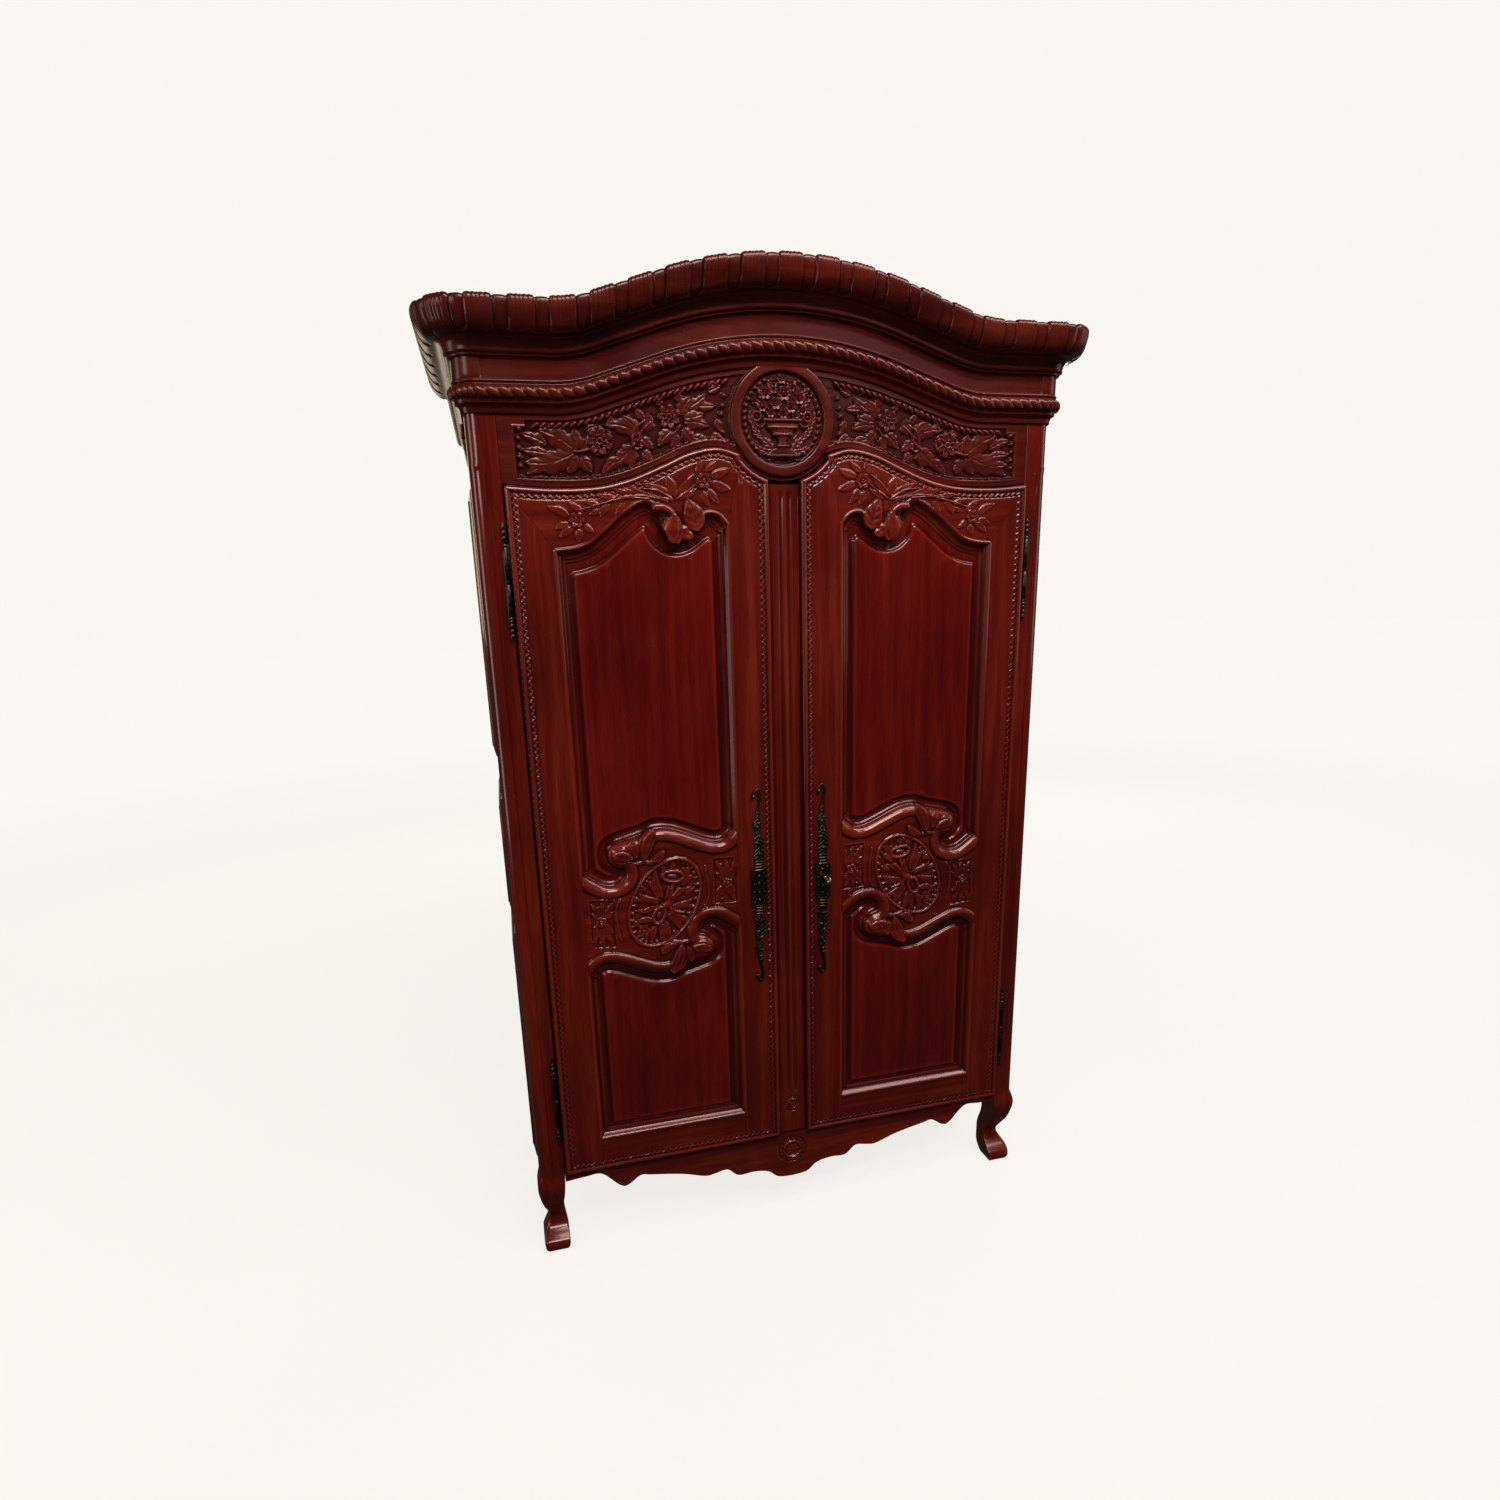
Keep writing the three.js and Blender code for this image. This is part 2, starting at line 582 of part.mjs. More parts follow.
// everything on a stile's side of its mitre with the top rail
function mitreCutter(side, [px, pz], [qx, qz], away, gap) {
  const longer = 1.3;
  const beyond = [px + longer * (qx - px) + gap, pz + longer * (qz - pz)];
  return prismY(mirrored([
    [px + gap, pz], beyond, [away, beyond[1]], [away, pz - 100], [px + gap, pz - 100],
  ], side), DOOR_FACE - 1, DOOR_BACK + 1);
}

const DOOR_TENONS = { mid: [892, 936], bottom: [252, 304] };
const DOOR_TENON_Y = [-222, -214];
const DOOR_TENON_LONG = 40;

function doorTenon(side, rail, grow = 0) {
  const [z0, z1] = DOOR_TENONS[rail];
  return box(
    sided([PANEL_INNER - DOOR_TENON_LONG - grow, PANEL_OUTER + DOOR_TENON_LONG + grow], side),
    [DOOR_TENON_Y[0] - grow, DOOR_TENON_Y[1] + grow], [z0 - grow, z1 + grow]);
}

// an outline with each point moved outward, along both axes, from the middle of its box
function grownOutline(outline, grow) {
  const middle = (axis) => {
    const values = outline.map((point) => point[axis]);
    return (Math.min(...values) + Math.max(...values)) / 2;
  };
  const [cx, cz] = [middle(0), middle(1)];
  return outline.map(([x, z]) => [x + grow * Math.sign(x - cx), z + grow * Math.sign(z - cz)]);
}

function plateSolid(side, plate, grow = 0) {
  return prismY(
    mirrored(grownOutline(plate, grow), side),
    PANEL_FRONT + GAP - grow, PANEL_FRONT + GAP + PANEL_THICK + grow);
}

// recess behind the frame's front edge, open to the back, in which both panels lie
function panelRecess(side) {
  const open = (plate) => plateSolid(side, plate, GAP).add(
    prismY(mirrored(plate, side), PANEL_FRONT + PANEL_THICK, DOOR_BACK + 1));
  return [open(upperPlate), open(lowerPlate)];
}

function framePiece(side, outline) {
  let solid = prismY(mirrored(outline, side), DOOR_FACE, DOOR_BACK);
  for (const recess of panelRecess(side)) solid = solid.subtract(recess);
  return solid;
}

const BOLT = { x: [-100, -88], y: [-200.6, -192.6], z: [1520, 1870] };
const BOLT_GUIDES = [1570, 1760];

function boltGuides() {
  let guides = null;
  for (const z of BOLT_GUIDES) {
    let guide = box([BOLT.x[0] - 10, BOLT.x[1] + 10], [DOOR_BACK - 1, BOLT.y[1] + 5], [z, z + 22]);
    guide = guide.subtract(box(
      [BOLT.x[0] - GAP, BOLT.x[1] + GAP], [DOOR_BACK, BOLT.y[1] + GAP], [z - 1, z + 23]));
    guides = guides ? guides.add(guide) : guide;
  }
  return guides;
}

function keyHole() {
  const round = cylinder('y', [LOCK_X, DOOR_FACE + 10, KEY_Z], KEY_HOLE_R, 60);
  const slit = box(
    [LOCK_X - KEY_HOLE_R / 2, LOCK_X + KEY_HOLE_R / 2], [DOOR_FACE - 20, DOOR_BACK + 5],
    [KEY_Z - KEY_BIT - KEY_R, KEY_Z]);
  return round.add(slit);
}

// raised fields of the two door panels
const UPPER_FIELD = [[166, 1112], [466, 1112], [466, 1668], [430, 1676], [330, 1752], [300, 1756],
  [262, 1700], [166, 1700]];
const LOWER_FIELD = { x: [166, 466], z: [356, 716] };

for (const [name, side] of SIDES) {
  const joints = [doorTenon(side, 'mid', GAP), doorTenon(side, 'bottom', GAP)];
  let hingeStile = framePiece(side, hingeStileOutline);
  let lockStile = framePiece(side, lockStileOutline);
  for (const joint of joints) {
    hingeStile = hingeStile.subtract(joint);
    lockStile = lockStile.subtract(joint);
  }
  for (const z of Object.values(HINGE_HEIGHTS)) hingeStile = hingeStile.subtract(doorLeaf(side, z, GAP));
  if (side < 0) lockStile = lockStile.add(boltGuides());
  if (side > 0) lockStile = lockStile.subtract(keyHole());

  let topRail = framePiece(side, [...doorTop, ...openingTop]);
  topRail = topRail.subtract(mitreCutter(side, OUTER_MITRE, doorTop[0], DOOR_OUTER + 40, -GAP));
  topRail = topRail.subtract(mitreCutter(side, INNER_MITRE, doorTop[doorTop.length - 1], 0, GAP));
  const inside = ([x, z]) => [Math.min(Math.max(x, PANEL_INNER + GAP), PANEL_OUTER - GAP), z];
  const midRail = framePiece(side, [...railTop, ...railBottom].map(inside)).add(doorTenon(side, 'mid'));
  const bottomRail = framePiece(side, [
    [PANEL_INNER + GAP, DOOR_BOTTOM], [PANEL_OUTER - GAP, DOOR_BOTTOM],
    [PANEL_OUTER - GAP, SILL], [PANEL_INNER + GAP, SILL],
  ]).add(doorTenon(side, 'bottom'));

  add(`${name}_door_hinge_stile`, hingeStile, 'mahogany');
  add(`${name}_door_lock_stile`, lockStile, 'mahogany');
  add(`${name}_door_top_rail`, topRail, 'mahogany');
  add(`${name}_door_mid_rail`, midRail, 'mahogany');
  add(`${name}_door_bottom_rail`, bottomRail, 'mahogany');

  const fieldY = [PANEL_FRONT + GAP - FIELD_RISE, PANEL_FRONT + 2];
  const upperField = prismY(mirrored(UPPER_FIELD, side), ...fieldY);
  const lowerField = box(sided(LOWER_FIELD.x, side), fieldY, LOWER_FIELD.z);
  add(`${name}_door_upper_panel`, plateSolid(side, upperPlate).add(upperField), 'mahogany_panel');
  add(`${name}_door_lower_panel`, plateSolid(side, lowerPlate).add(lowerField), 'mahogany_panel');
}

// false centre stile: a strip between the doors with a flange screwed behind the left door
const STILE_HALF = 34;
const STILE_SET_BACK = 12;
const STILE_Z = [238, 1836];
const FLANGE = { reach: 60, thick: 10, z: [250, 1800] };
const stileFront = box([-STILE_HALF, STILE_HALF], [DOOR_FACE + STILE_SET_BACK, DOOR_BACK], STILE_Z);
const stileFlange = box(
  [-FLANGE.reach, -STILE_HALF + FLANGE.thick], [DOOR_BACK + GAP, DOOR_BACK + FLANGE.thick], FLANGE.z);
const stileWeb = box(
  [-STILE_HALF, -STILE_HALF + FLANGE.thick], [DOOR_BACK - 1, DOOR_BACK + FLANGE.thick], FLANGE.z);
add('centre_stile', stileFront.add(stileWeb).add(stileFlange), 'mahogany');

// ---------------------------------------------------------------- hinges

const KNUCKLE = 76;
const FINIAL = [[0, 0], [3.4, 0], [2.2, 5], [5, 11], [5, 17], [2.4, 22], [4.2, 28], [3.6, 36],
  [0, HINGE_HALF - KNUCKLE]];

const PIN = { middle: 15, long: 70 };

function frameHinge(side, z) {
  const at = [HINGE_X * side, HINGE_Y];
  const knuckle = cylinder('z', [...at, z - KNUCKLE / 2 - GAP / 2], HINGE_R, KNUCKLE - GAP, 16);
  const pin = cylinder('z', [...at, z + PIN.middle], PIN_R, PIN.long, 16);
  const drop = FINIAL.map(([r, h]) => [r, -h]).reverse();
  const finial = turned(drop, [...at, z - KNUCKLE + 1], 12);
  return knuckle.add(pin).add(finial).add(frameLeaf(side, z));
}

function doorHinge(side, z) {
  const at = [HINGE_X * side, HINGE_Y];
  const knuckle = cylinder('z', [...at, z + KNUCKLE / 2 + GAP / 2], HINGE_R, KNUCKLE - GAP, 16);
  const bore = cylinder('z', [...at, z + PIN.middle], PIN_R + GAP, PIN.long + 4, 16);
  const finial = turned(FINIAL, [...at, z + KNUCKLE - 1], 12);
  return knuckle.add(finial).add(doorLeaf(side, z)).subtract(bore);
}

for (const [name, side] of SIDES) {
  for (const [level, z] of Object.entries(HINGE_HEIGHTS)) {
    add(`${name}_${level}_hinge_frame_half`, frameHinge(side, z), 'bronze');
    add(`${name}_${level}_hinge_door_half`, doorHinge(side, z), 'bronze');
  }
}

// ---------------------------------------------------------------- escutcheons, lock, key, bolts

const ESCUTCHEON_THICK = 4;
const ESCUTCHEON_QUARTER = [[15, 0], [17, 40], [14, 60], [7, 75], [10, 95], [6, 120], [9, 150], [5, 180],
  [8, 205], [3, 226], [5, 236], [0, 244]];

function escutcheon(side) {
  const upper = [...ESCUTCHEON_QUARTER, ...mirrored(ESCUTCHEON_QUARTER, -1).reverse().slice(1)];
  const lower = upper.slice(1, -1).map(([x, z]) => [-x, -z]);
  const outline = shifted([...upper, ...lower], LOCK_X * side, LOCK_Z);
  const plate = prismY(outline, DOOR_FACE - GAP - ESCUTCHEON_THICK, DOOR_FACE - GAP);
  return side > 0 ? plate.subtract(keyHole()) : plate;
}

for (const [name, side] of SIDES) add(`${name}_escutcheon`, escutcheon(side), 'bronze');

const LOCK_BOLT = { x: [42, 92], y: [-195, -187], z: [955, 971] };
const LOCK_CASE = { x: [48, 116], y: [DOOR_BACK + GAP, -181], z: [890, 985] };

function lockCase() {
  const slot = box(
    [LOCK_CASE.x[0] - 1, LOCK_BOLT.x[1] + 2], [LOCK_BOLT.y[0] - GAP, LOCK_BOLT.y[1] + GAP],
    [LOCK_BOLT.z[0] - GAP, LOCK_BOLT.z[1] + GAP]);
  const barrel = cylinder('y', [LOCK_X, BACKSET_Y, KEY_Z], KEY_BIT + 2, 20);
  return box(LOCK_CASE.x, LOCK_CASE.y, LOCK_CASE.z).subtract(slot).subtract(barrel);
}

const KEY_SHANK = [-266, -190];  // from the bow to the tip
const BIT_HALF = 1.5;
const BOW = { y: -275, radius: 9, tube: 2.2 };

function key() {
  const middle = (KEY_SHANK[0] + KEY_SHANK[1]) / 2;
  const shank = cylinder('y', [LOCK_X, middle, KEY_Z], KEY_R, KEY_SHANK[1] - KEY_SHANK[0], 12);
  const bit = box(
    [LOCK_X - BIT_HALF, LOCK_X + BIT_HALF], [BACKSET_Y - 3, KEY_SHANK[1] + 2], [KEY_Z - KEY_BIT, KEY_Z]);
  const bow = new THREE.TorusGeometry(BOW.radius, BOW.tube, 8, 20);
  bow.rotateY(Math.PI / 2);
  bow.translate(LOCK_X, BOW.y, KEY_Z);
  return shank.add(bit).add(toSolid(bow));
}

add('lock_case', lockCase(), 'steel');
add('lock_bolt', box(LOCK_BOLT.x, LOCK_BOLT.y, LOCK_BOLT.z), 'brass');
add('key', key(), 'brass');
add('left_door_bolt', box(BOLT.x, BOLT.y, BOLT.z), 'steel');

export default armoire;
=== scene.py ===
"""French-country armoire: the fine surfaces, finishes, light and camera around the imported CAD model.

Shapes are worked out in millimetres in the CAD frame and become metres when a mesh is made.
Door, frieze and post shapes are made for the right half, where x is the distance from the middle,
and mirrored for the left half.
"""

import json
import math

import bmesh
import bpy
import numpy as np
from mathutils import Matrix, Vector
from mathutils.geometry import tessellate_polygon


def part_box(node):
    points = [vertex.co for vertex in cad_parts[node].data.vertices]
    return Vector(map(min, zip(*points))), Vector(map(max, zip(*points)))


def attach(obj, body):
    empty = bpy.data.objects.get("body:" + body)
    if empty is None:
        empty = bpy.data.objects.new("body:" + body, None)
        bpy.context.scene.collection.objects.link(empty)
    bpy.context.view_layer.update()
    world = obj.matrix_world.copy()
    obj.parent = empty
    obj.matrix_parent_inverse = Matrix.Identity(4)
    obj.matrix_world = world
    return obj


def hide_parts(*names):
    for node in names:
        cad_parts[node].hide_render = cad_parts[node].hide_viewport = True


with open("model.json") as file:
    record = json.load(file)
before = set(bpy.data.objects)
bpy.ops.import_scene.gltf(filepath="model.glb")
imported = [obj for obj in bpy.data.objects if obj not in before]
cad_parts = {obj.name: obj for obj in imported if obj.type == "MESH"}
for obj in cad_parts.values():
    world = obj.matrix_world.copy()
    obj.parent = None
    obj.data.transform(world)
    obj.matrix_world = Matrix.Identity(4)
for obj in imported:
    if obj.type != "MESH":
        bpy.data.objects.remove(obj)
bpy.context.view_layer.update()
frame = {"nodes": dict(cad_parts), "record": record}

MM = 0.001
SIDES = (("left", -1), ("right", 1))


def box_mm(node):
    """Lowest and highest corner of a CAD node, in millimetres."""
    low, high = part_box(node)
    return np.array(low) / MM, np.array(high) / MM


# ---------------------------------------------------------------- sizes from the frame

hinge_stile_low, hinge_stile_high = box_mm("right_door_hinge_stile")
lock_stile_low, lock_stile_high = box_mm("right_door_lock_stile")
bottom_rail_low, bottom_rail_high = box_mm("right_door_bottom_rail")
panel_low, panel_high = box_mm("right_door_upper_panel")
rear_post_low, rear_post_high = box_mm("rear_right_post")
frieze_low, frieze_high = box_mm("frieze_board")
apron_low, apron_high = box_mm("front_apron")
centre_low, centre_high = box_mm("centre_stile")

DOOR_FACE, DOOR_BACK = hinge_stile_low[1], hinge_stile_high[1]
DOOR_INNER, DOOR_OUTER = lock_stile_low[0], hinge_stile_high[0]
DOOR_BOTTOM, SILL = bottom_rail_low[2], bottom_rail_high[2]
PANEL_INNER, PANEL_OUTER = lock_stile_high[0], hinge_stile_low[0]
FIELD_FRONT, PANEL_BACK = panel_low[1], panel_high[1]

GAP = 0.3                          # clearance between neighbouring pieces
POST_WIDE, POST_DEEP = 62.0, 60.0
CORNER_R = 28.0                    # rounding of the posts' outer corners, which the cornice follows
CASE_HALF = box_mm("right_lower_rail")[1][0]
CASE_TOP = box_mm("front_right_post")[1][2]
CASE_FRONT, BACK = apron_low[1], rear_post_high[1]
POST_INNER = CASE_HALF - POST_WIDE
FRIEZE_BACK = frieze_high[1]
FLOOR_TOP = apron_high[2]
CROWN_SIDE = box_mm("cornice_right")[1][2]
CROWN_RISE = box_mm("cornice_front")[1][2] - CROWN_SIDE
CORNICE_HIGH = 190.0

MEDALLION_Z = 1967.0
MEDALLION_R = 116.0
DOOR_ARC = 127.0
RAIL_CENTRE = np.array([316.0, 914.0])


# ---------------------------------------------------------------- curves

def spline(points, count):
    """Uniform Catmull-Rom curve through points, as count + 1 points."""
    points = np.array(points, float)
    last = len(points) - 1
    place = np.linspace(0, last, count + 1)
    start = np.minimum(place.astype(int), last - 1)
    t = (place - start)[:, None]
    p0, p1 = points[np.maximum(start - 1, 0)], points[start]
    p2, p3 = points[start + 1], points[np.minimum(start + 2, last)]
    v0, v1 = (p2 - p0) / 2, (p3 - p1) / 2
    return ((2 * p1 - 2 * p2 + v0 + v1) * t ** 3 + (-3 * p1 + 3 * p2 - 2 * v0 - v1) * t ** 2
            + v0 * t + p1)


def polygon(*points):
    """The given corners as an array of points."""
    return np.array(points, float)


def arc(centre, radius, start, end, count):
    """Points on a circle between two angles in radians."""
    angle = np.linspace(start, end, count + 1)
    return np.array(centre) + radius * np.column_stack([np.cos(angle), np.sin(angle)])


def nearest(points, line):
    """Distance from each point to a polyline, and how far along the polyline its nearest place is."""
    best = np.full(len(points), np.inf)
    along = np.zeros(len(points))
    start = 0.0
    for a, b in zip(line[:-1], line[1:]):
        step = b - a
        length = math.hypot(step[0], step[1])
        off = points - a
        t = np.clip((off @ step) / length ** 2, 0, 1)
        distance = np.hypot(off[:, 0] - t * step[0], off[:, 1] - t * step[1])
        closer = distance < best
        best[closer] = distance[closer]
        along[closer] = start + t[closer] * length
        start += length
    return best, along


def within(points, loop):
    """Which points lie inside a closed loop."""
    x, z = points.T
    odd = np.zeros(len(points), bool)
    for (x0, z0), (x1, z1) in zip(loop, np.roll(loop, -1, 0)):
        if z0 != z1:
            odd ^= ((z0 > z) != (z1 > z)) & (x < x0 + (z - z0) * (x1 - x0) / (z1 - z0))
    return odd


def depth_inside(points, loop):
    """Distance in from a closed loop, negative outside it."""
    distance, _ = nearest(points, np.vstack([loop, loop[:1]]))
    return np.where(within(points, loop), distance, -distance)


def left_of(points, a, b):
    """Distance from each point to the straight line a to b, positive on its left."""
    (ax, az), (bx, bz) = a, b
    length = math.hypot(bx - ax, bz - az)
    return ((bx - ax) * (points[:, 1] - az) - (bz - az) * (points[:, 0] - ax)) / length


def profile(distance, table):
    """Height from a table of [distance, height] pairs."""
    d, h = np.array(table, float).T
    return np.interp(distance, d, h)


def crown_lift(x):
    """Height of the crown's top edge above its level ends: an arc, a straight slope, a tail."""
    slope, radius, straight_to = 0.33, 850.0, 395.0
    lean = math.atan(slope)
    straight_from = radius * math.sin(lean)
    arc_drop = radius * (1 - math.cos(lean))
    tail_drop = arc_drop + slope * (straight_to - straight_from)
    tail = 2 * (CROWN_RISE - tail_drop) / slope
    u = np.abs(np.asarray(x, float))
    arched = CROWN_RISE - radius + np.sqrt(np.maximum(radius ** 2 - np.minimum(u, radius) ** 2, 0))
    sloping = CROWN_RISE - arc_drop - slope * (u - straight_from)
    left = np.clip(1 - (u - straight_to) / tail, 0, 1)
    return np.where(u < straight_from, arched,
                    np.where(u < straight_to, sloping, (CROWN_RISE - tail_drop) * left ** 2))


DOOR_TOP = spline([
    (DOOR_OUTER, 1834), (500, 1828), (410, 1831), (340, 1846), (270, 1873), (210, 1898), (150, 1909),
    (98, 1896)], 88)
DOOR_TIP = DOOR_TOP[-1]
DOOR_ARC_LINE = arc((0, MEDALLION_Z), DOOR_ARC, -math.acos(99 / DOOR_ARC),
                    -math.acos(DOOR_INNER / DOOR_ARC), 24)
DOOR_LOOP = np.vstack([[(DOOR_INNER, DOOR_BOTTOM), (DOOR_OUTER, DOOR_BOTTOM)], DOOR_TOP, DOOR_ARC_LINE])

OUTER_MITRE = (PANEL_OUTER, 1705.0)
INNER_MITRE = (PANEL_INNER, 1752.0)
OPENING_TOP = spline([
    INNER_MITRE, (150, 1772), (175, 1777), (205, 1762), (235, 1742), (258, 1745), (275, 1780),
    (302, 1801), (330, 1794), (363, 1772), (396, 1745), (429, 1720), (461, 1709), OUTER_MITRE], 130)
RAIL_TOP = spline([
    (PANEL_INNER, 1068), (152, 1049), (175, 1041), (205, 1046), (250, 1065), (290, 1081), (325, 1084),
    (352, 1074), (395, 1063), (424, 1053), (428, 1032), (414, 1018), (394, 1010), (390, 990),
    (400, 970), (425, 959), (452, 962), (480, 979), (PANEL_OUTER, 994)], 162)
RAIL_BOTTOM = 2 * RAIL_CENTRE - RAIL_TOP
UPPER_OPENING = np.vstack([RAIL_TOP, OPENING_TOP[::-1]])
LOWER_OPENING = np.vstack([[(PANEL_INNER, SILL), (PANEL_OUTER, SILL)], RAIL_BOTTOM])


# ---------------------------------------------------------------- meshes

class Shape:
    """Points in millimetres with quads, triangles, and a cavity value for each point."""

    def __init__(self):
        self.points, self.quads, self.triangles, self.cavity = [], [], [], []
        self.count = 0

    def add(self, points, quads=(), triangles=(), cavity=None):
        points = np.asarray(points, float).reshape(-1, 3)
        self.points.append(points)
        if len(quads):
            self.quads.append(np.asarray(quads, int) + self.count)
        if len(triangles):
            self.triangles.append(np.asarray(triangles, int) + self.count)
        self.cavity.append(np.zeros(len(points)) if cavity is None else cavity)
        self.count += len(points)
        return self

    def join(self, other, flip=False):
        """Adds another shape's parts, mirrored left to right if flip is true."""
        base = self.count
        turn = np.array([-1.0, 1.0, 1.0]) if flip else np.ones(3)
        for points, cavity in zip(other.points, other.cavity):
            self.points.append(points * turn)
            self.cavity.append(cavity)
        order = slice(None, None, -1) if flip else slice(None)
        self.quads += [q[:, order] + base for q in other.quads]
        self.triangles += [t[:, order] + base for t in other.triangles]
        self.count += other.count
        return self


def sided(shape, side):
    """The shape as made for the right, or its mirror image for the left."""
    return shape if side > 0 else Shape().join(shape, flip=True)


SHARP = 42                         # degrees at which an edge stays sharp


def piece(name, shape, body, material, stands_for=(), sharp=SHARP):
    """Makes a mesh piece that rides on a body and stands for CAD nodes."""
    mesh = bpy.data.meshes.new(name)
    points = np.concatenate(shape.points) * MM
    quads = np.concatenate(shape.quads) if shape.quads else np.zeros((0, 4), int)
    triangles = np.concatenate(shape.triangles) if shape.triangles else np.zeros((0, 3), int)
    corners = np.concatenate([quads.ravel(), triangles.ravel()]).astype(np.int32)
    starts = np.concatenate([np.arange(len(quads)) * 4, len(quads) * 4 + np.arange(len(triangles)) * 3])
    mesh.vertices.add(len(points))
    mesh.vertices.foreach_set("co", points.astype(np.float32).ravel())
    mesh.loops.add(len(corners))
    mesh.loops.foreach_set("vertex_index", corners)
    mesh.polygons.add(len(starts))
    mesh.polygons.foreach_set("loop_start", starts.astype(np.int32))
    mesh.update(calc_edges=True)
    mesh.polygons.foreach_set("use_smooth", np.ones(len(starts), bool))
    mesh.set_sharp_from_angle(angle=math.radians(sharp))
    # the cavity attribute, read by the finishes: painted shade in the wood's hollows, patina in the metal's
    cavity = mesh.attributes.new("cavity", "FLOAT", "POINT")
    cavity.data.foreach_set("value", np.concatenate(shape.cavity).astype(np.float32))
    mesh.materials.append(material)
    made = bpy.data.objects.new(name, mesh)
    bpy.context.scene.collection.objects.link(made)
    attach(made, body)
    if stands_for:
        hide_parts(*stands_for)
    return made


def loft(rings, caps=True):
    """A skin over rings of points, all with the same number of points."""
    rings = np.asarray(rings, float)
    count, size = rings.shape[:2]
    index = np.arange(count * size).reshape(count, size)
    wrapped = np.concatenate([index, index[:, :1]], 1)
    quads = np.stack([wrapped[:-1, :-1], wrapped[:-1, 1:], wrapped[1:, 1:], wrapped[1:, :-1]], -1)
    shape = Shape().add(rings.reshape(-1, 3), quads.reshape(-1, 4))
    if caps:
        for ring, order in ((0, -1), (count - 1, 1)):
            fan = cap_triangles(rings[ring])
            if len(fan):
                shape.triangles.append((fan + ring * size)[:, ::order])
    return shape


def cap_triangles(ring):
    """Triangles that fill a flat ring."""
    return np.array(tessellate_polygon([[Vector(p) for p in ring]]), int).reshape(-1, 3)


def turned(outline, centre, sides, axis="z"):
    """A turned shape from [radius, place along the axis] pairs; the axis is z or y."""
    angle = np.linspace(0, 2 * math.pi, sides, endpoint=False)
    circle = np.column_stack([np.cos(angle), np.sin(angle)])
    rings = []
    for radius, place in outline:
        ring = np.column_stack([max(radius, 0.01) * circle, np.full(sides, place)])
        if axis == "y":
            ring = ring[:, [0, 2, 1]] * np.array([-1, 1, 1])
        rings.append(ring + np.array(centre))
    return loft(rings)


def soft_box(low, high, bevel):
    """A box with rounded edges."""
    low, high = np.minimum(low, high), np.maximum(low, high)
    corner = []
    for k, (sx, sy) in enumerate(((1, 1), (-1, 1), (-1, -1), (1, -1))):
        for turn in np.linspace(0, math.pi / 2, 4):
            angle = k * math.pi / 2 + turn
            corner.append((sx, sy, math.cos(angle) - sx, math.sin(angle) - sy))
    corner = np.array(corner)
    middle, half = (low + high) / 2, (high - low) / 2
    rings = []
    for lift in (-1, 1):
        for turn in (np.linspace(0, math.pi / 2, 4) if lift < 0 else np.linspace(math.pi / 2, 0, 4)):
            inset = bevel * (1 - math.sin(turn))
            xy = corner[:, :2] * (half[:2] - inset) + corner[:, 2:] * (bevel - inset)
            z = lift * (half[2] - bevel + bevel * math.cos(turn))
            rings.append(np.column_stack([xy + middle[:2], np.full(len(xy), z + middle[2])]))
    return loft(rings)


GRID = 1.8
BLOCK = 8                          # flat stretches of a grid merge within blocks of this many cells
FLAT = 0.02                        # heights that differ by less than this count as flat
CORNERS = ((0, 0), (1, 0), (1, 1), (0, 1))


def grid_points(low, high, step, rows):
    """The points of a grid over a board, column by column, and the grid's size."""
    columns = max(2, int(round((high[0] - low[0]) / step)) + 1)
    lines = max(2, int(round((high[1] - low[1]) / step)) + 1)
    x = np.linspace(low[0], high[0], columns)
    share = np.linspace(0, 1, lines)
    if rows is None:
        z = np.broadcast_to(low[1] + share * (high[1] - low[1]), (columns, lines))
    else:
        bottom, top = rows[0](x), rows[1](x)
        z = bottom[:, None] + share[None, :] * (top - bottom)[:, None]
    return np.column_stack([np.repeat(x, lines), z.ravel()]), (columns, lines)


def front_quads(kept, rim, heights, merge_flats):
    """Quads over the kept cells of a grid, with long ones where a block is flat and away from the rim."""
    columns, lines = heights.shape
    index = np.arange(columns * lines).reshape(columns, lines)
    quads = []
    for i in range(0, columns - 1, BLOCK):
        for j in range(0, lines - 1, BLOCK):
            i1, j1 = min(i + BLOCK, columns - 1), min(j + BLOCK, lines - 1)
            cells = kept[i:i1, j:j1]
            if not cells.any():
                continue
            across, up = np.arange(i, i1 + 1), np.arange(j, j1 + 1)
            if merge_flats and cells.all() and not rim[i + 1:i1, j + 1:j1].any():
                part = heights[i:i1 + 1, j:j1 + 1]
                if np.ptp(part, axis=1).max() < FLAT:
                    up = up[[0, -1]]
                if np.ptp(part, axis=0).max() < FLAT:
                    across = across[[0, -1]]
                cells = np.ones((len(across) - 1, len(up) - 1), bool)
            a, b = np.nonzero(cells)
            quads.append(np.column_stack([index[across[a + da], up[b + db]] for da, db in CORNERS]))
    return np.concatenate(quads)


def open_edges(kept):
    """The edges of kept cells that have no kept neighbour, as pairs of grid points."""
    columns, lines = kept.shape
    index = np.arange((columns + 1) * (lines + 1)).reshape(columns + 1, lines + 1)
    padded = np.pad(kept, 1)
    walls = []
    for k, (dx, dz) in enumerate(((0, -1), (1, 0), (0, 1), (-1, 0))):
        i, j = np.nonzero(kept & ~padded[1 + dx:columns + 1 + dx, 1 + dz:lines + 1 + dz])
        (x0, z0), (x1, z1) = CORNERS[k], CORNERS[(k + 1) % 4]
        walls.append(np.column_stack([index[i + x0, j + z0], index[i + x1, j + z1]]))
    return np.concatenate(walls)


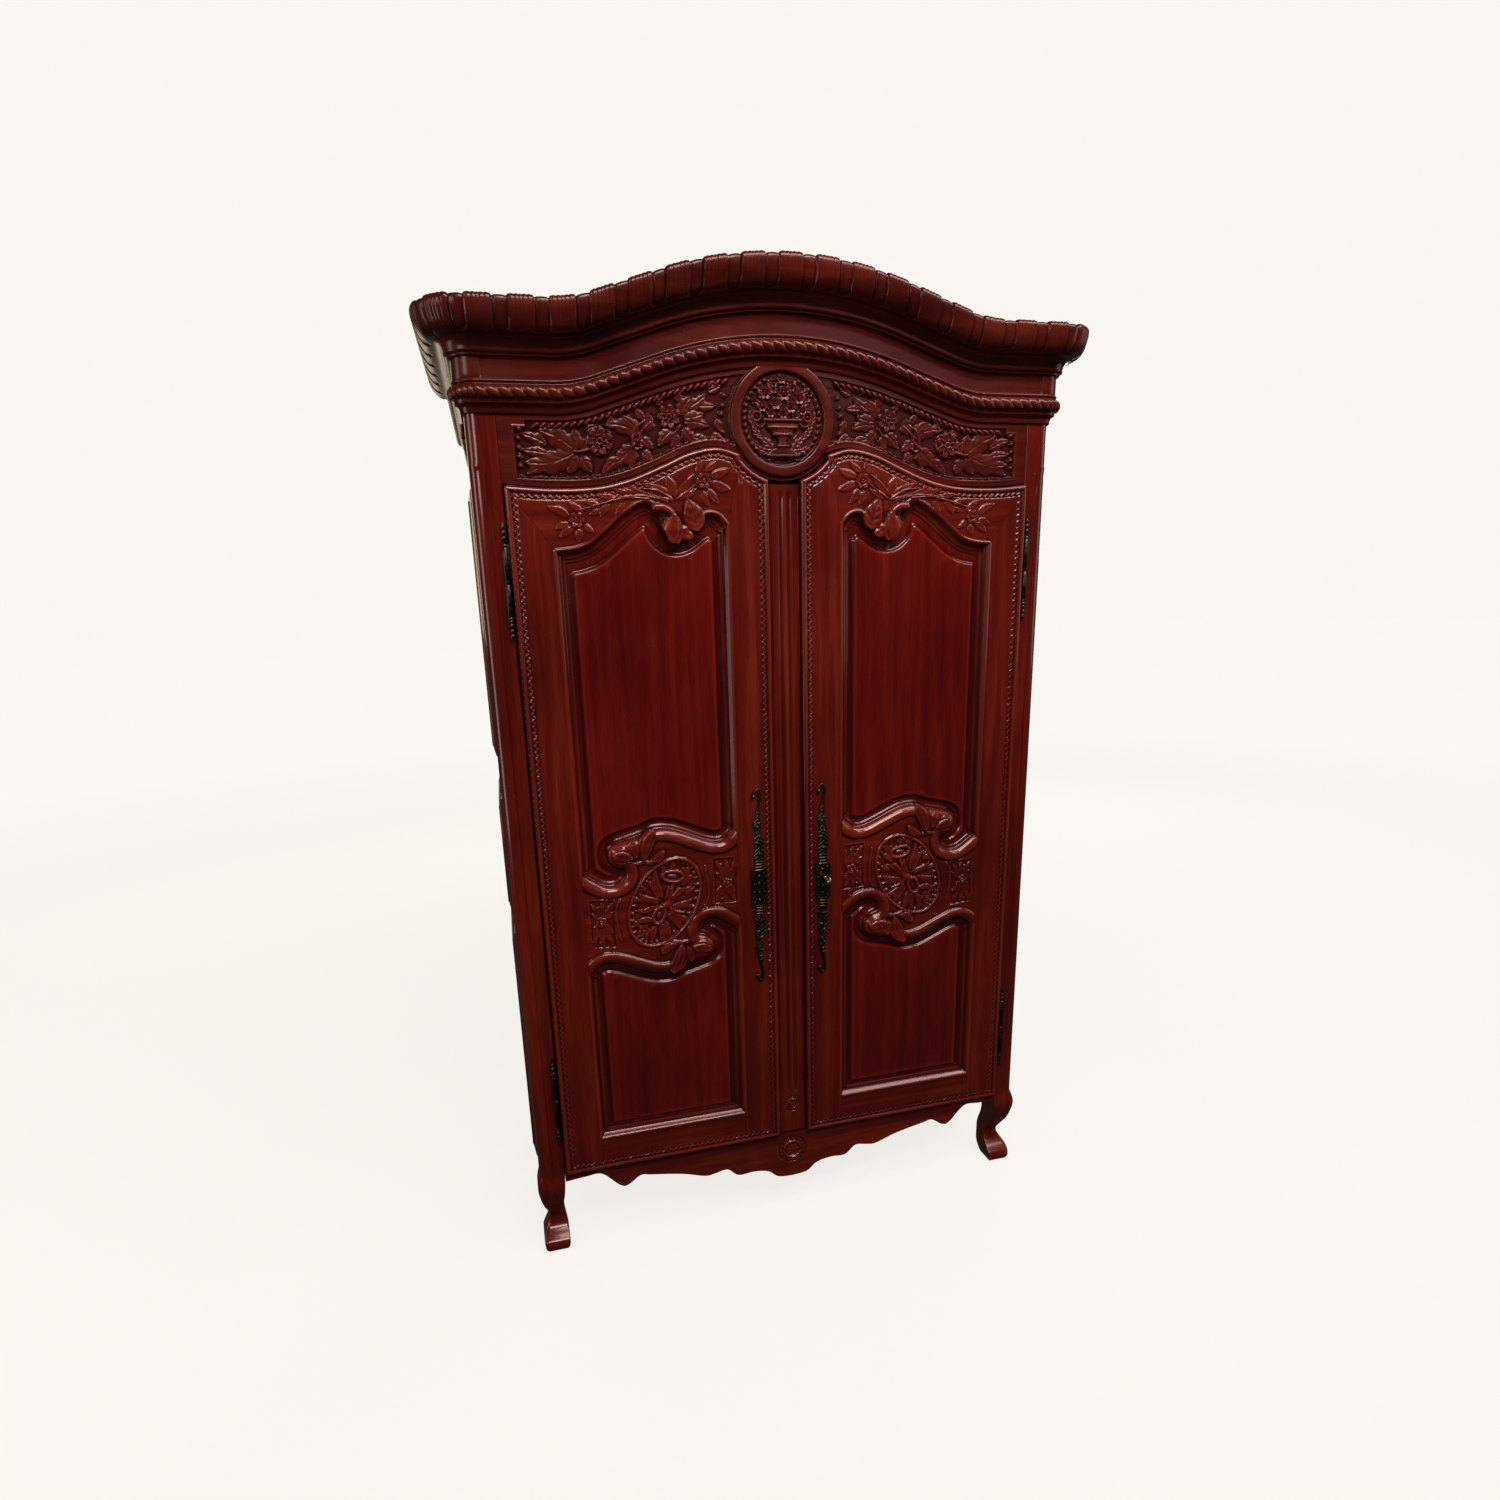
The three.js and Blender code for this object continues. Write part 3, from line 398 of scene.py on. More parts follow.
def relief(inside, height, low, high, face, back, step=GRID, rows=None, outline=None):
    """A board whose front is carved: the part of a grid where inside(points) is positive.

    height(points) says how far the front stands out of the plane y = face. rows, if given, is a pair of
    functions of x for the lowest and highest row, so that the rows follow curves. outline is the
    board's outline for its back."""
    points, size = grid_points(low, high, step, rows)
    far = inside(points).reshape(size) > -0.35 * step
    kept = far[:-1, :-1] & far[1:, :-1] & far[1:, 1:] & far[:-1, 1:]
    around = np.zeros(size, int)
    for dx, dz in CORNERS:
        around[dx:size[0] - 1 + dx, dz:size[1] - 1 + dz] += kept
    used = around > 0
    rim = used & (around < 4)
    edge = points[rim.ravel()]
    for _ in range(3):
        edge = edge - towards(inside, edge, step)
    points[rim.ravel()] = edge
    heights = np.zeros(size)
    heights[used] = height(points[used.ravel()])
    # how sunk each point is; the wood finishes paint shade into sunk places from this
    cavity = hollowness(heights, used).ravel()
    surface = np.column_stack([points[:, 0], face - heights.ravel(), points[:, 1]])

    quads, walls = front_quads(kept, rim, heights, rows is None), open_edges(kept)
    needed = np.unique(np.concatenate([quads.ravel(), walls.ravel()]))
    shape = Shape().add(surface[needed], np.searchsorted(needed, quads), cavity=cavity[needed])
    ends = np.unique(walls)
    front, rear = surface[ends], surface[ends]
    rear[:, 1] = back
    a, b = np.searchsorted(ends, walls).T
    n = len(ends)
    shape.add(np.vstack([front, rear]), np.column_stack([b, a, a + n, b + n]))
    return shape if outline is None else with_back(shape, outline, back)


def with_back(shape, outline, back):
    """Adds a flat back inside an outline, with its triangles facing away from the front."""
    ring = np.column_stack([outline[:, 0], np.full(len(outline), back), outline[:, 1]])
    fan = cap_triangles(ring)
    a, b, c = ring[fan.T]
    wrong = np.cross(b - a, c - a)[:, 1] < 0
    fan[wrong] = fan[wrong][:, ::-1]
    return shape.add(ring, triangles=fan)


def towards(inside, points, reach):
    """The step that takes each point to where inside is zero, if that is within reach."""
    tiny = 0.2
    here = inside(points)
    slope_x = (inside(points + (tiny, 0)) - inside(points - (tiny, 0))) / (2 * tiny)
    slope_z = (inside(points + (0, tiny)) - inside(points - (0, tiny))) / (2 * tiny)
    steep = np.maximum(slope_x ** 2 + slope_z ** 2, 0.25)
    step = np.column_stack([here * slope_x / steep, here * slope_z / steep])
    step[np.abs(here) > 1.6 * reach] = 0
    return step


def hollowness(heights, used, reach=3):
    """How far each place lies below (positive) or above (negative) what surrounds it, from -1 to 1."""
    total = np.where(used, heights, 0.0)
    weight = used.astype(float)
    for axis in (0, 1):
        for _ in range(2):
            total, weight = (running_mean(grid, reach, axis) for grid in (total, weight))
    around = np.where(weight > 0.02, total / np.maximum(weight, 0.02), heights)
    return np.clip((around - heights) / 1.6, -1, 1)


def running_mean(grid, reach, axis):
    """The mean over reach cells each way along one axis."""
    pad = [(0, 0), (0, 0)]
    pad[axis] = (reach + 1, reach)
    total = np.cumsum(np.pad(grid, pad), axis)
    size = grid.shape[axis]
    span = 2 * reach + 1
    upper = np.take(total, np.arange(span, span + size), axis)
    lower = np.take(total, np.arange(0, size), axis)
    return (upper - lower) / span


# ---------------------------------------------------------------- carving

def dome(q):
    """Height of a half circle of radius 1 at q from its middle, and nothing outside it."""
    return np.sqrt(np.clip(1 - q ** 2, 0, 1))


def oval_reach(points, centre, half, turn):
    """How far out each point lies in an ellipse turned by an angle: 0 at its centre, 1 at its edge."""
    local = points - centre
    c, s = math.cos(turn), math.sin(turn)
    return np.hypot((local[:, 0] * c + local[:, 1] * s) / half[0],
                    (local[:, 1] * c - local[:, 0] * s) / half[1])


class Carving:
    """Heights at points, raised by carved motifs."""

    def __init__(self, points, heights):
        self.points, self.heights = points, heights

    def near(self, centre, reach):
        return np.nonzero(np.abs(self.points - centre).max(1) < reach)[0]

    def raise_to(self, chosen, heights, where):
        self.heights[chosen[where]] = np.maximum(self.heights[chosen[where]], heights[where])

    def lift_to(self, heights, where):
        """Raises all points for which where is true, so that they are no lower than heights."""
        self.heights = np.where(where, np.maximum(self.heights, heights), self.heights)

    def sink(self, depth_in, floor, slope):
        """Lowers the ground to floor where depth_in is positive, down a short slope."""
        share = np.clip(depth_in / slope, 0, 1)
        self.heights = self.heights * (1 - share) + np.minimum(self.heights, floor) * share

    def lobe(self, base, tip, width, bend, half_width):
        """The points near a bowed strip: which they are, which of them lie in the strip, how far along it
        from 0 to 1, how far off its middle, and that distance over half_width of the place along it."""
        base, tip = np.array(base, float), np.array(tip, float)
        length = math.hypot(*(tip - base))
        along = (tip - base) / length
        across = np.array([-along[1], along[0]])
        chosen = self.near((base + tip) / 2, length / 2 + width + abs(bend) * length)
        local = self.points[chosen] - base
        t = (local @ along) / length
        off = local @ across - bend * length * 4 * t * (1 - t)
        place = np.clip(t, 0, 1)
        half = half_width(place)
        where = (t > 0) & (t < 1) & (np.abs(off) < half)
        return chosen, where, place, off, np.abs(off) / np.maximum(half, 0.01)

    def leaf(self, base, tip, width, ground, rise, veins, bend=0.0, lobes=0, cut=0.20):
        """A leaf from base to tip with a midrib and side veins. bend bows it, lobes cut its edge."""
        def half_width(t):
            half = width / 2 * np.sin(math.pi * t ** 0.75) ** 0.8
            if not lobes:
                return half
            notch = np.mod(lobes * t, 1.0)
            return half * (0.72 + 0.40 * notch * (1.25 - notch ** 3))

        chosen, where, t, off, q = self.lobe(base, tip, width, bend, half_width)
        swell = 0.44 + 0.56 * dome(q) * (0.85 + 0.3 * t)
        rib = 0.30 * np.exp(-(off / 1.3) ** 2) * (t < 0.93)
        side_veins = cut * (0.5 + 0.5 * np.cos(2 * math.pi * (veins * t - 1.1 * q))) * (q > 0.12)
        self.raise_to(chosen, ground + rise * (swell - rib - side_veins), where)

    def petal(self, base, tip, width, ground, rise, bend):
        """A smooth swelling lobe, broadest past its middle, with a rolled rim."""
        def half_width(t):
            return width / 2 * np.sin(math.pi * t ** 1.25) ** 0.55

        chosen, where, t, _, q = self.lobe(base, tip, width, bend, half_width)
        groove = 0.22 * np.exp(-((q - 0.66) / 0.10) ** 2) + 0.12 * np.exp(-(q / 0.10) ** 2)
        self.raise_to(chosen, ground + rise * (0.50 + 0.50 * dome(q) - groove * (t < 0.9)), where)

    def flower(self, centre, radius, ground, rise, petals):
        """An open flower with rounded, cupped petals round a hollow button."""
        centre = np.array(centre, float)
        chosen = self.near(centre, radius * 1.1)
        local = self.points[chosen] - centre
        rho = np.hypot(*local.T)
        theta = np.arctan2(local[:, 1], local[:, 0])
        wave = np.abs(np.cos(petals * theta / 2))
        q = rho / (radius * (0.62 + 0.38 * wave ** 0.7))
        cup = 0.42 + 0.50 * np.clip(q, 0, 1) ** 1.5 - 0.35 * np.clip((q - 0.86) / 0.14, 0, 1) ** 2
        petal = cup * (0.62 + 0.38 * np.minimum(1, wave * 2.2))
        self.raise_to(chosen, ground + rise * petal, q < 1)
        self.pit(centre, radius * 0.40, ground + rise * 0.12)
        ring = rho / radius
        self.raise_to(chosen, ground + rise * (0.95 * dome((ring - 0.20) / 0.13)), ring < 0.33)

    def pit(self, centre, radius, floor):
        """A flat round hollow."""
        chosen = self.near(centre, radius)
        inside = chosen[np.hypot(*(self.points[chosen] - centre).T) < radius]
        self.heights[inside] = np.minimum(self.heights[inside], floor)

    def bead(self, centre, radius, ground, rise):
        """A round button."""
        chosen = self.near(centre, radius)
        rho = np.hypot(*(self.points[chosen] - centre).T) / radius
        self.raise_to(chosen, ground + rise * dome(rho), rho < 1)

    def oval(self, centre, half, turn, ground, rise):
        """A raised ellipse, half its size along and across, turned by an angle."""
        chosen = self.near(centre, max(half))
        q = oval_reach(self.points[chosen], centre, half, turn)
        self.raise_to(chosen, ground + rise * dome(q), q < 1)

    def ring(self, centre, half, turn, tube, ground, rise):
        """A raised elliptical ring."""
        chosen = self.near(centre, max(half) + tube)
        angle = np.linspace(0, 2 * math.pi, 49)
        c, s = math.cos(turn), math.sin(turn)
        line = np.column_stack([half[0] * np.cos(angle) * c - half[1] * np.sin(angle) * s,
                                half[0] * np.cos(angle) * s + half[1] * np.sin(angle) * c])
        q = nearest(self.points[chosen], line + np.array(centre))[0] / tube
        self.raise_to(chosen, ground + rise * dome(q), q < 1)

    def stem(self, line, width, ground, rise, taper=0.0):
        """A rounded stem along a curve through the points of line."""
        curve = spline(line, 8 * (len(line) - 1))
        chosen = self.near((curve.max(0) + curve.min(0)) / 2, np.ptp(curve, axis=0).max() / 2 + width)
        distance, along = nearest(self.points[chosen], curve)
        q = distance / (width / 2 * (1 - taper * along / max(along.max(), 1.0)))
        self.raise_to(chosen, ground + rise * dome(q), q < 1)


def rope_line(carving, line, spacing, half, ground, rise, lean):
    """Slanting beads set along a line, as on a twisted ribbon."""
    step = np.hypot(*np.diff(line, axis=0).T)
    along = np.concatenate([[0], np.cumsum(step)])
    count = int(along[-1] / spacing)
    for k in range(count):
        place = (k + 0.5) * along[-1] / count
        centre, ahead = (np.array([np.interp(at, along, line[:, axis]) for axis in (0, 1)])
                         for at in (place, place + 1))
        ahead = ahead - centre
        carving.oval(centre, half, math.atan2(ahead[1], ahead[0]) + lean, ground, rise)


# ---------------------------------------------------------------- finishes

class Finish:
    """A node material in the making. Its methods add nodes and return their output sockets."""

    def __init__(self, name):
        self.material = bpy.data.materials.new(name)
        self.material.use_nodes = True
        self.nodes, self.links = self.material.node_tree.nodes, self.material.node_tree.links
        self.shader = self.nodes["Principled BSDF"]
        self.place = self.nodes.new("ShaderNodeTexCoord").outputs["Object"]

    def fill(self, node, values):
        """Sets or links a node's inputs, named with underscores for spaces."""
        for name, value in values.items():
            socket = node.inputs[name.replace("_", " ")]
            if isinstance(value, bpy.types.NodeSocket):
                self.links.new(value, socket)
            else:
                socket.default_value = (*value, 1) if socket.type == "RGBA" else value

    def add(self, kind, output, **values):
        made = self.nodes.new(f"ShaderNode{kind}")
        self.fill(made, values)
        return made.outputs[output]

    def noise(self, vector, scale, detail=4.0, rough=0.55, distortion=0.0):
        return self.add("TexNoise", "Fac", Vector=vector, Scale=scale, Detail=detail, Roughness=rough,
                        Distortion=distortion)

    def ramp(self, value, stops):
        made = self.nodes.new("ShaderNodeValToRGB")
        elements = made.color_ramp.elements
        while len(elements) < len(stops):
            elements.new(0.5)
        for element, (place, colour) in zip(elements, stops):
            element.position = place
            element.color = (*colour, 1)
        self.links.new(value, made.inputs["Fac"])
        return made.outputs["Color"]

    def mix(self, kind, share, first, second):
        """Mixes two colours; share is a number or a socket, and first and second are colours or sockets."""
        made = self.nodes.new("ShaderNodeMix")
        made.data_type = "RGBA"
        made.blend_type = kind
        for socket, value in ((made.inputs[0], share), (made.inputs[6], first), (made.inputs[7], second)):
            if isinstance(value, bpy.types.NodeSocket):
                self.links.new(value, socket)
            else:
                socket.default_value = value if isinstance(value, float) else (*value, 1)
        return made.outputs[2]

    def span(self, value, low, high, to_low, to_high):
        return self.add("MapRange", "Result", Value=value, From_Min=low, From_Max=high, To_Min=to_low,
                        To_Max=to_high)

    def hollow_shade_and_ridge_wear(self, colour, hollow, hollow_colour, ridge, ridge_colour):
        """Darker hollows and paler ridges, from the cavity attribute. In wood the darker hollows are
        painted shade as well as glaze; in metal they are patina. The paler ridges are wear. hollow and
        ridge are cavity from, cavity to, greatest share.
        """
        cavity = self.nodes.new("ShaderNodeAttribute")
        cavity.attribute_name = "cavity"
        for (low, high, most), tint in ((hollow, hollow_colour), (ridge, ridge_colour)):
            share = self.span(cavity.outputs["Fac"], low, high, 0.0, most)
            colour = self.mix("MIX", share, colour, tuple(min(1, c) for c in tint))
        return colour

    def bump(self, height, strength, distance):
        return self.add("Bump", "Normal", Strength=strength, Distance=distance, Height=height)

    def grain(self, along, seed):
        """Object coordinates squeezed along the grain, so that noise makes streaks."""
        scale = tuple(0.06 if axis == along else 1.0 for axis in "xyz")
        return self.add("Mapping", "Vector", Vector=self.place, Scale=scale,
                        Location=(seed * 1.7, seed * 0.9, seed * 2.3))


def wood(name, along, tones, seed, gloss=0.19, wear=1.0, coat=0.5):
    """Lacquered wood: streaks and pores along one axis, dark glaze and painted shade in hollows, paler worn
    edges.

    tones are the dark, middle and light colours of the grain."""
    made = Finish(name)
    dark, middle, light = tones
    grain = made.grain(along, seed)
    streaks = made.noise(grain, 34.0, 6.0, 0.6, 0.35)
    colour = made.ramp(streaks, [(0.30, dark), (0.52, middle), (0.74, light)])
    clouds = made.noise(made.place, 3.2, 3.0)
    shade = made.ramp(clouds, [(0.30, (0.64, 0.54, 0.54)), (0.70, (1.24, 1.34, 1.22))])
    colour = made.mix("MULTIPLY", 0.8, colour, shade)
    pores = made.noise(grain, 420.0, 3.0, 0.7)
    pore_shade = made.ramp(pores, [(0.36, (0.50, 0.44, 0.44)), (0.52, (1.0, 1.0, 1.0))])
    colour = made.mix("MULTIPLY", 0.55, colour, pore_shade)
    # painted shade: hollows darken towards a quarter of the dark tone, standing for the shade in the
    # carving as well as glaze; raised places turn paler with wear
    colour = made.hollow_shade_and_ridge_wear(colour, (0.05, 0.9, 0.80), [0.24 * c for c in dark],
                            (-0.2, -0.9, 0.30 * wear), [1.5 * c + 0.004 for c in light])
    handled = made.noise(made.place, 9.0, 4.0)
    streaks_grey = made.ramp(streaks, [(0.0, (0, 0, 0)), (1.0, (1, 1, 1))])
    made.fill(made.shader, dict(
        Base_Color=colour, Roughness=made.span(handled, 0.3, 0.7, gloss - 0.05, gloss + 0.09),
        Specular_IOR_Level=0.40, Specular_Tint=(1.0, 0.72, 0.68),
        Coat_Weight=coat, Coat_Roughness=0.09, Coat_Tint=(1.0, 0.93, 0.92),
        Normal=made.bump(made.mix("ADD", 0.6, streaks_grey, pores), 0.22, 0.0006)))
    return made.material


def metal(name, dark, light, rough, speckle=120.0, hollow_tint=0.25):
    """Aged metal: cloudy patina, darker hollows and rubbed high places."""
    made = Finish(name)
    patina = made.noise(made.place, speckle, 5.0, 0.6)
    colour = made.ramp(patina, [(0.34, dark), (0.62, light)])
    colour = made.hollow_shade_and_ridge_wear(colour, (0.0, 0.7, 0.9), [hollow_tint * c for c in dark],
                            (-0.1, -0.8, 0.8), [1.9 * c for c in light])
    made.fill(made.shader, dict(
        Base_Color=colour, Roughness=made.span(patina, 0.3, 0.7, rough - 0.08, rough + 0.12), Metallic=1.0,
        Normal=made.bump(patina, 0.25, 0.0004)))
    return made.material


FRAME_TONES = ((0.080, 0.0040, 0.0030), (0.136, 0.0090, 0.0048), (0.212, 0.0250, 0.0092))
# a darker copy of the frame's tones for the frieze, medallion and cornice: painted shade for the top of the
# case, which gets less light
CROWN_SHADED_TONES = ((0.048, 0.0034, 0.0026), (0.088, 0.0078, 0.0048), (0.135, 0.0180, 0.0085))
PANEL_TONES = ((0.085, 0.0030, 0.0026), (0.135, 0.0055, 0.0042), (0.190, 0.0120, 0.0062))
INNER_TONES = ((0.20, 0.075, 0.032), (0.30, 0.125, 0.055), (0.40, 0.185, 0.085))

MAHOGANY = {axis: wood(f"mahogany_{axis}", axis, FRAME_TONES, seed)
            for axis, seed in (("x", 1.0), ("y", 2.0), ("z", 3.0))}
# painted shade: the same mahogany made darker for the crown pieces, standing for the shade on the top of
# the case
SHADED_CROWN_WOOD = {axis: wood(f"shaded_mahogany_{axis}", axis, CROWN_SHADED_TONES, seed, gloss=0.24, wear=0.6, coat=0.1)
             for axis, seed in (("x", 7.0), ("y", 8.0))}
PANEL_WOOD = wood("mahogany_panel_z", "z", PANEL_TONES, 4.0)
INNER_WOOD = {axis: wood(f"inner_wood_{axis}", axis, INNER_TONES, seed, gloss=0.55, coat=0.0)
              for axis, seed in (("x", 5.0), ("z", 6.0))}
BRONZE = metal("dark_bronze", (0.022, 0.017, 0.014), (0.090, 0.072, 0.058), 0.34, hollow_tint=0.35)
BRASS = metal("worn_brass", (0.34, 0.22, 0.085), (0.62, 0.43, 0.19), 0.30, 60.0)
STEEL = metal("dull_steel", (0.22, 0.22, 0.22), (0.42, 0.42, 0.41), 0.38, 80.0)


# ---------------------------------------------------------------- doors

STICK = 24.0                       # how far the frame's inner moulding reaches into a panel opening
FRAME_LEVEL = -2.5                 # the frame's flat, behind the plane of its raised edges
LIP = [
    (0, -6.5), (0.8, -4.0), (2, -2.2), (3.6, -1.25), (5.2, -0.6), (6.8, -0.2), (8, -0.1), (9.5, -0.7),
    (10.8, -2.4), (11.8, -3.8), (12.8, -3.4), (14.5, FRAME_LEVEL)]
MOULDING = [
    (-STICK, -17.4), (-21, -17.0), (-18.2, -16.5), (-17.2, -15.2), (-16.4, -14.2), (-13, -13.5),
    (-10, -12.3), (-7.6, -10.6), (-5.6, -8.3), (-4.2, -6.2), (-3.4, -4.6), (-2.6, -4.1), (-1.8, -2.7),
    (-1.0, -1.5), (0.4, -0.6), (2.0, -0.3), (3.6, -0.8), (4.8, -1.8), (6.0, FRAME_LEVEL)]
BAND = [
    (-8.6, -11.4), (-8.0, -9.6), (-7.0, -7.2), (-5.0, -4.8), (-2.6, -2.5), (0, -0.6), (3, 1.3), (6, 2.6),
    (9, 3.3), (12, 3.4), (15, 2.7), (17.5, 1.2), (19.5, -1.2), (21, -3.5), (22.5, -3.7),
    (24.5, FRAME_LEVEL)]
RIBBON_MIDDLE = 18.6
RIBBON_WAVE = 13.8


def ribbon(distance, along):
    """Carved wavy ribbon that follows a door's edge, as a height over the frame's flat."""
    phase = 2 * math.pi * along / RIBBON_WAVE
    swing = RIBBON_MIDDLE + 2.1 * np.sin(phase)
    bead = dome((distance - swing) / 2.6)
    band = np.clip(1 - np.abs(distance - RIBBON_MIDDLE) / 6.0, 0, 1)
    return np.where(band > 0, -1.5 * np.clip(band * 4, 0, 1) + 2.5 * bead, 0)


def opening_depth(points):
    """Distance into the nearest panel opening, negative on the frame."""
    return np.maximum(depth_inside(points, UPPER_OPENING), depth_inside(points, LOWER_OPENING))


def frame_height(points):
    """Height of a door frame's front: edge lip, ribbon, flat, and the moulding round the openings."""
    edge, along = nearest(points, np.vstack([DOOR_LOOP, DOOR_LOOP[:1]]))
    heights = profile(edge, LIP) + ribbon(edge, along)
    into = -opening_depth(points)
    return np.where(into < MOULDING[-1][0], profile(into, MOULDING), heights)


# the heights at which the middle rail's curves end, beside the hinge stile (outer) and the lock stile
RAIL_TOP_OUTER, RAIL_TOP_INNER = RAIL_TOP[-1][1], RAIL_TOP[0][1]
RAIL_LOW_OUTER, RAIL_LOW_INNER = RAIL_BOTTOM[0][1], RAIL_BOTTOM[-1][1]

# outlines of the frame's straight pieces, which meet the rails on mitres
HINGE_STILE_LOOP = polygon(
    (PANEL_OUTER, DOOR_BOTTOM), (DOOR_OUTER, DOOR_BOTTOM), (DOOR_OUTER, DOOR_TOP[0][1]), OUTER_MITRE,
    (PANEL_OUTER - STICK, OUTER_MITRE[1] - STICK), (PANEL_OUTER - STICK, RAIL_TOP_OUTER + STICK),
    (PANEL_OUTER, RAIL_TOP_OUTER), (PANEL_OUTER, RAIL_LOW_OUTER),
    (PANEL_OUTER - STICK, RAIL_LOW_OUTER - STICK), (PANEL_OUTER - STICK, SILL + STICK), (PANEL_OUTER, SILL))
LOCK_STILE_LOOP = np.vstack([
    polygon((DOOR_INNER, DOOR_BOTTOM), (PANEL_INNER, DOOR_BOTTOM), (PANEL_INNER, SILL),
            (PANEL_INNER + STICK, SILL + STICK), (PANEL_INNER + STICK, RAIL_LOW_INNER - STICK),
            (PANEL_INNER, RAIL_LOW_INNER), (PANEL_INNER, RAIL_TOP_INNER),
            (PANEL_INNER + STICK, RAIL_TOP_INNER + STICK), (PANEL_INNER + STICK, INNER_MITRE[1] - STICK),
            INNER_MITRE, DOOR_TIP), DOOR_ARC_LINE])
BOTTOM_RAIL_LOOP = polygon(
    (PANEL_INNER, DOOR_BOTTOM), (PANEL_OUTER, DOOR_BOTTOM), (PANEL_OUTER, SILL),
    (PANEL_OUTER - STICK, SILL + STICK), (PANEL_INNER + STICK, SILL + STICK), (PANEL_INNER, SILL))
JOINT = 0.25                       # half the hairline gap where two pieces of a frame meet


def frame_member(loop):
    """A stile or rail of a door's frame with a given outline."""
    return relief(lambda p: depth_inside(p, loop) - JOINT, frame_height, loop.min(0), loop.max(0),
                  DOOR_FACE, DOOR_BACK, outline=loop)


def outline_height(x, line):
    """Height of a curve that is a function of x."""
    order = np.argsort(line[:, 0])
    return np.interp(x, line[order, 0], line[order, 1])


def top_rail_height(points):
    """Two flowers among leaves, and a scroll of large leaves that hangs into the opening."""
    carving = Carving(points, frame_height(points))
    ground = FRAME_LEVEL
    strands = [
        [(252, 1806), (280, 1822), (314, 1826)], [(252, 1803), (290, 1812), (338, 1829)],
        [(262, 1800), (310, 1812), (378, 1808)], [(300, 1806), (350, 1808), (400, 1797), (442, 1785)],
        [(244, 1812), (225, 1836), (200, 1854)], [(240, 1806), (215, 1822), (196, 1836)]]
    for line in strands:
        carving.stem(line, 6.5, ground, 3.4, taper=0.5)
    leaves = [
        ((250, 1808), (312, 1836), 17), ((246, 1812), (262, 1852), 20), ((238, 1812), (204, 1862), 15),
        ((234, 1806), (196, 1826), 13), ((166, 1850), (124, 1866), 18), ((163, 1837), (122, 1824), 20),
        ((172, 1824), (150, 1796), 17), ((184, 1820), (172, 1790), 15), ((176, 1860), (150, 1882), 13),
        ((196, 1856), (186, 1884), 12), ((300, 1812), (352, 1822), 13), ((330, 1806), (376, 1826), 12),
        ((360, 1803), (412, 1812), 13), ((384, 1796), (404, 1770), 15), ((352, 1798), (372, 1768), 14),
        ((404, 1792), (436, 1800), 12), ((440, 1778), (470, 1800), 14), ((468, 1772), (512, 1792), 17),
        ((470, 1758), (498, 1748), 15), ((462, 1750), (490, 1730), 16), ((448, 1748), (450, 1722), 15),
        ((438, 1756), (418, 1740), 13), ((424, 1776), (400, 1788), 11)]
    for base, tip, width in leaves:
        carving.leaf(base, tip, 1.05 * width, ground, 2.7, veins=3, bend=0.05, cut=0.11)
    carving.flower((181, 1841), 17, ground, 5.0, petals=6)
    carving.flower((453, 1765), 16, ground, 4.8, petals=6)
    carving.leaf((244, 1750), (205, 1722), 30, ground - 2.0, 7.6, veins=3, cut=0.12)
    carving.leaf((199, 1740), (220, 1806), 47, ground - 1.0, 9.0, veins=4, bend=0.05, cut=0.13)
    carving.petal((245, 1776), (262, 1707), 52, ground - 1.0, 9.8, bend=0.03)
    carving.stem([(286, 1789), (268, 1788), (252, 1774), (248, 1748)], 19, ground - 1.0, 9.6, taper=0.2)
    carving.leaf((251, 1752), (268, 1712), 20, ground + 4.6, 4.8, veins=3)
    carving.leaf((249, 1750), (252, 1710), 16, ground + 4.6, 4.4, veins=3)
    return carving.heights


def top_rail_shape():
    """The shaped top rail, whose rows follow the door's top edge and the opening."""
    def inside(points):
        return np.minimum.reduce([
            left_of(points, OUTER_MITRE, DOOR_TOP[0]) - JOINT,
            -left_of(points, INNER_MITRE, DOOR_TIP) - JOINT,
            (points[:, 1] - OUTER_MITRE[1] - points[:, 0] + OUTER_MITRE[0]) / math.sqrt(2) - JOINT,
            (points[:, 0] + points[:, 1] - sum(INNER_MITRE)) / math.sqrt(2) - JOINT,
            opening_edge(points) + STICK])

    def opening_edge(points):
        distance, _ = nearest(points, OPENING_TOP)
        above = points[:, 1] > outline_height(points[:, 0], OPENING_TOP)
        return np.where(above, distance, -distance)

    rows = (lambda x: outline_height(x, OPENING_TOP) - STICK - 6, lambda x: outline_height(x, DOOR_TOP))
    low = (DOOR_TIP[0], OUTER_MITRE[1] - STICK)
    high = (DOOR_OUTER, DOOR_TOP[:, 1].max())
    outline = np.vstack([DOOR_TOP, OPENING_TOP])
    return relief(inside, top_rail_height, low, high, DOOR_FACE, DOOR_BACK, rows=rows, outline=outline)


OVAL_CENTRE = (311, 914)
OVAL_HALF = (117, 78)
OVAL_TURN = math.radians(90 + 31)
OVAL_SUNK = 3.6                    # how far the oval's ground lies below the rail's flat
OVAL_BEADS = 34
SQUARE_SUNK = 2.0


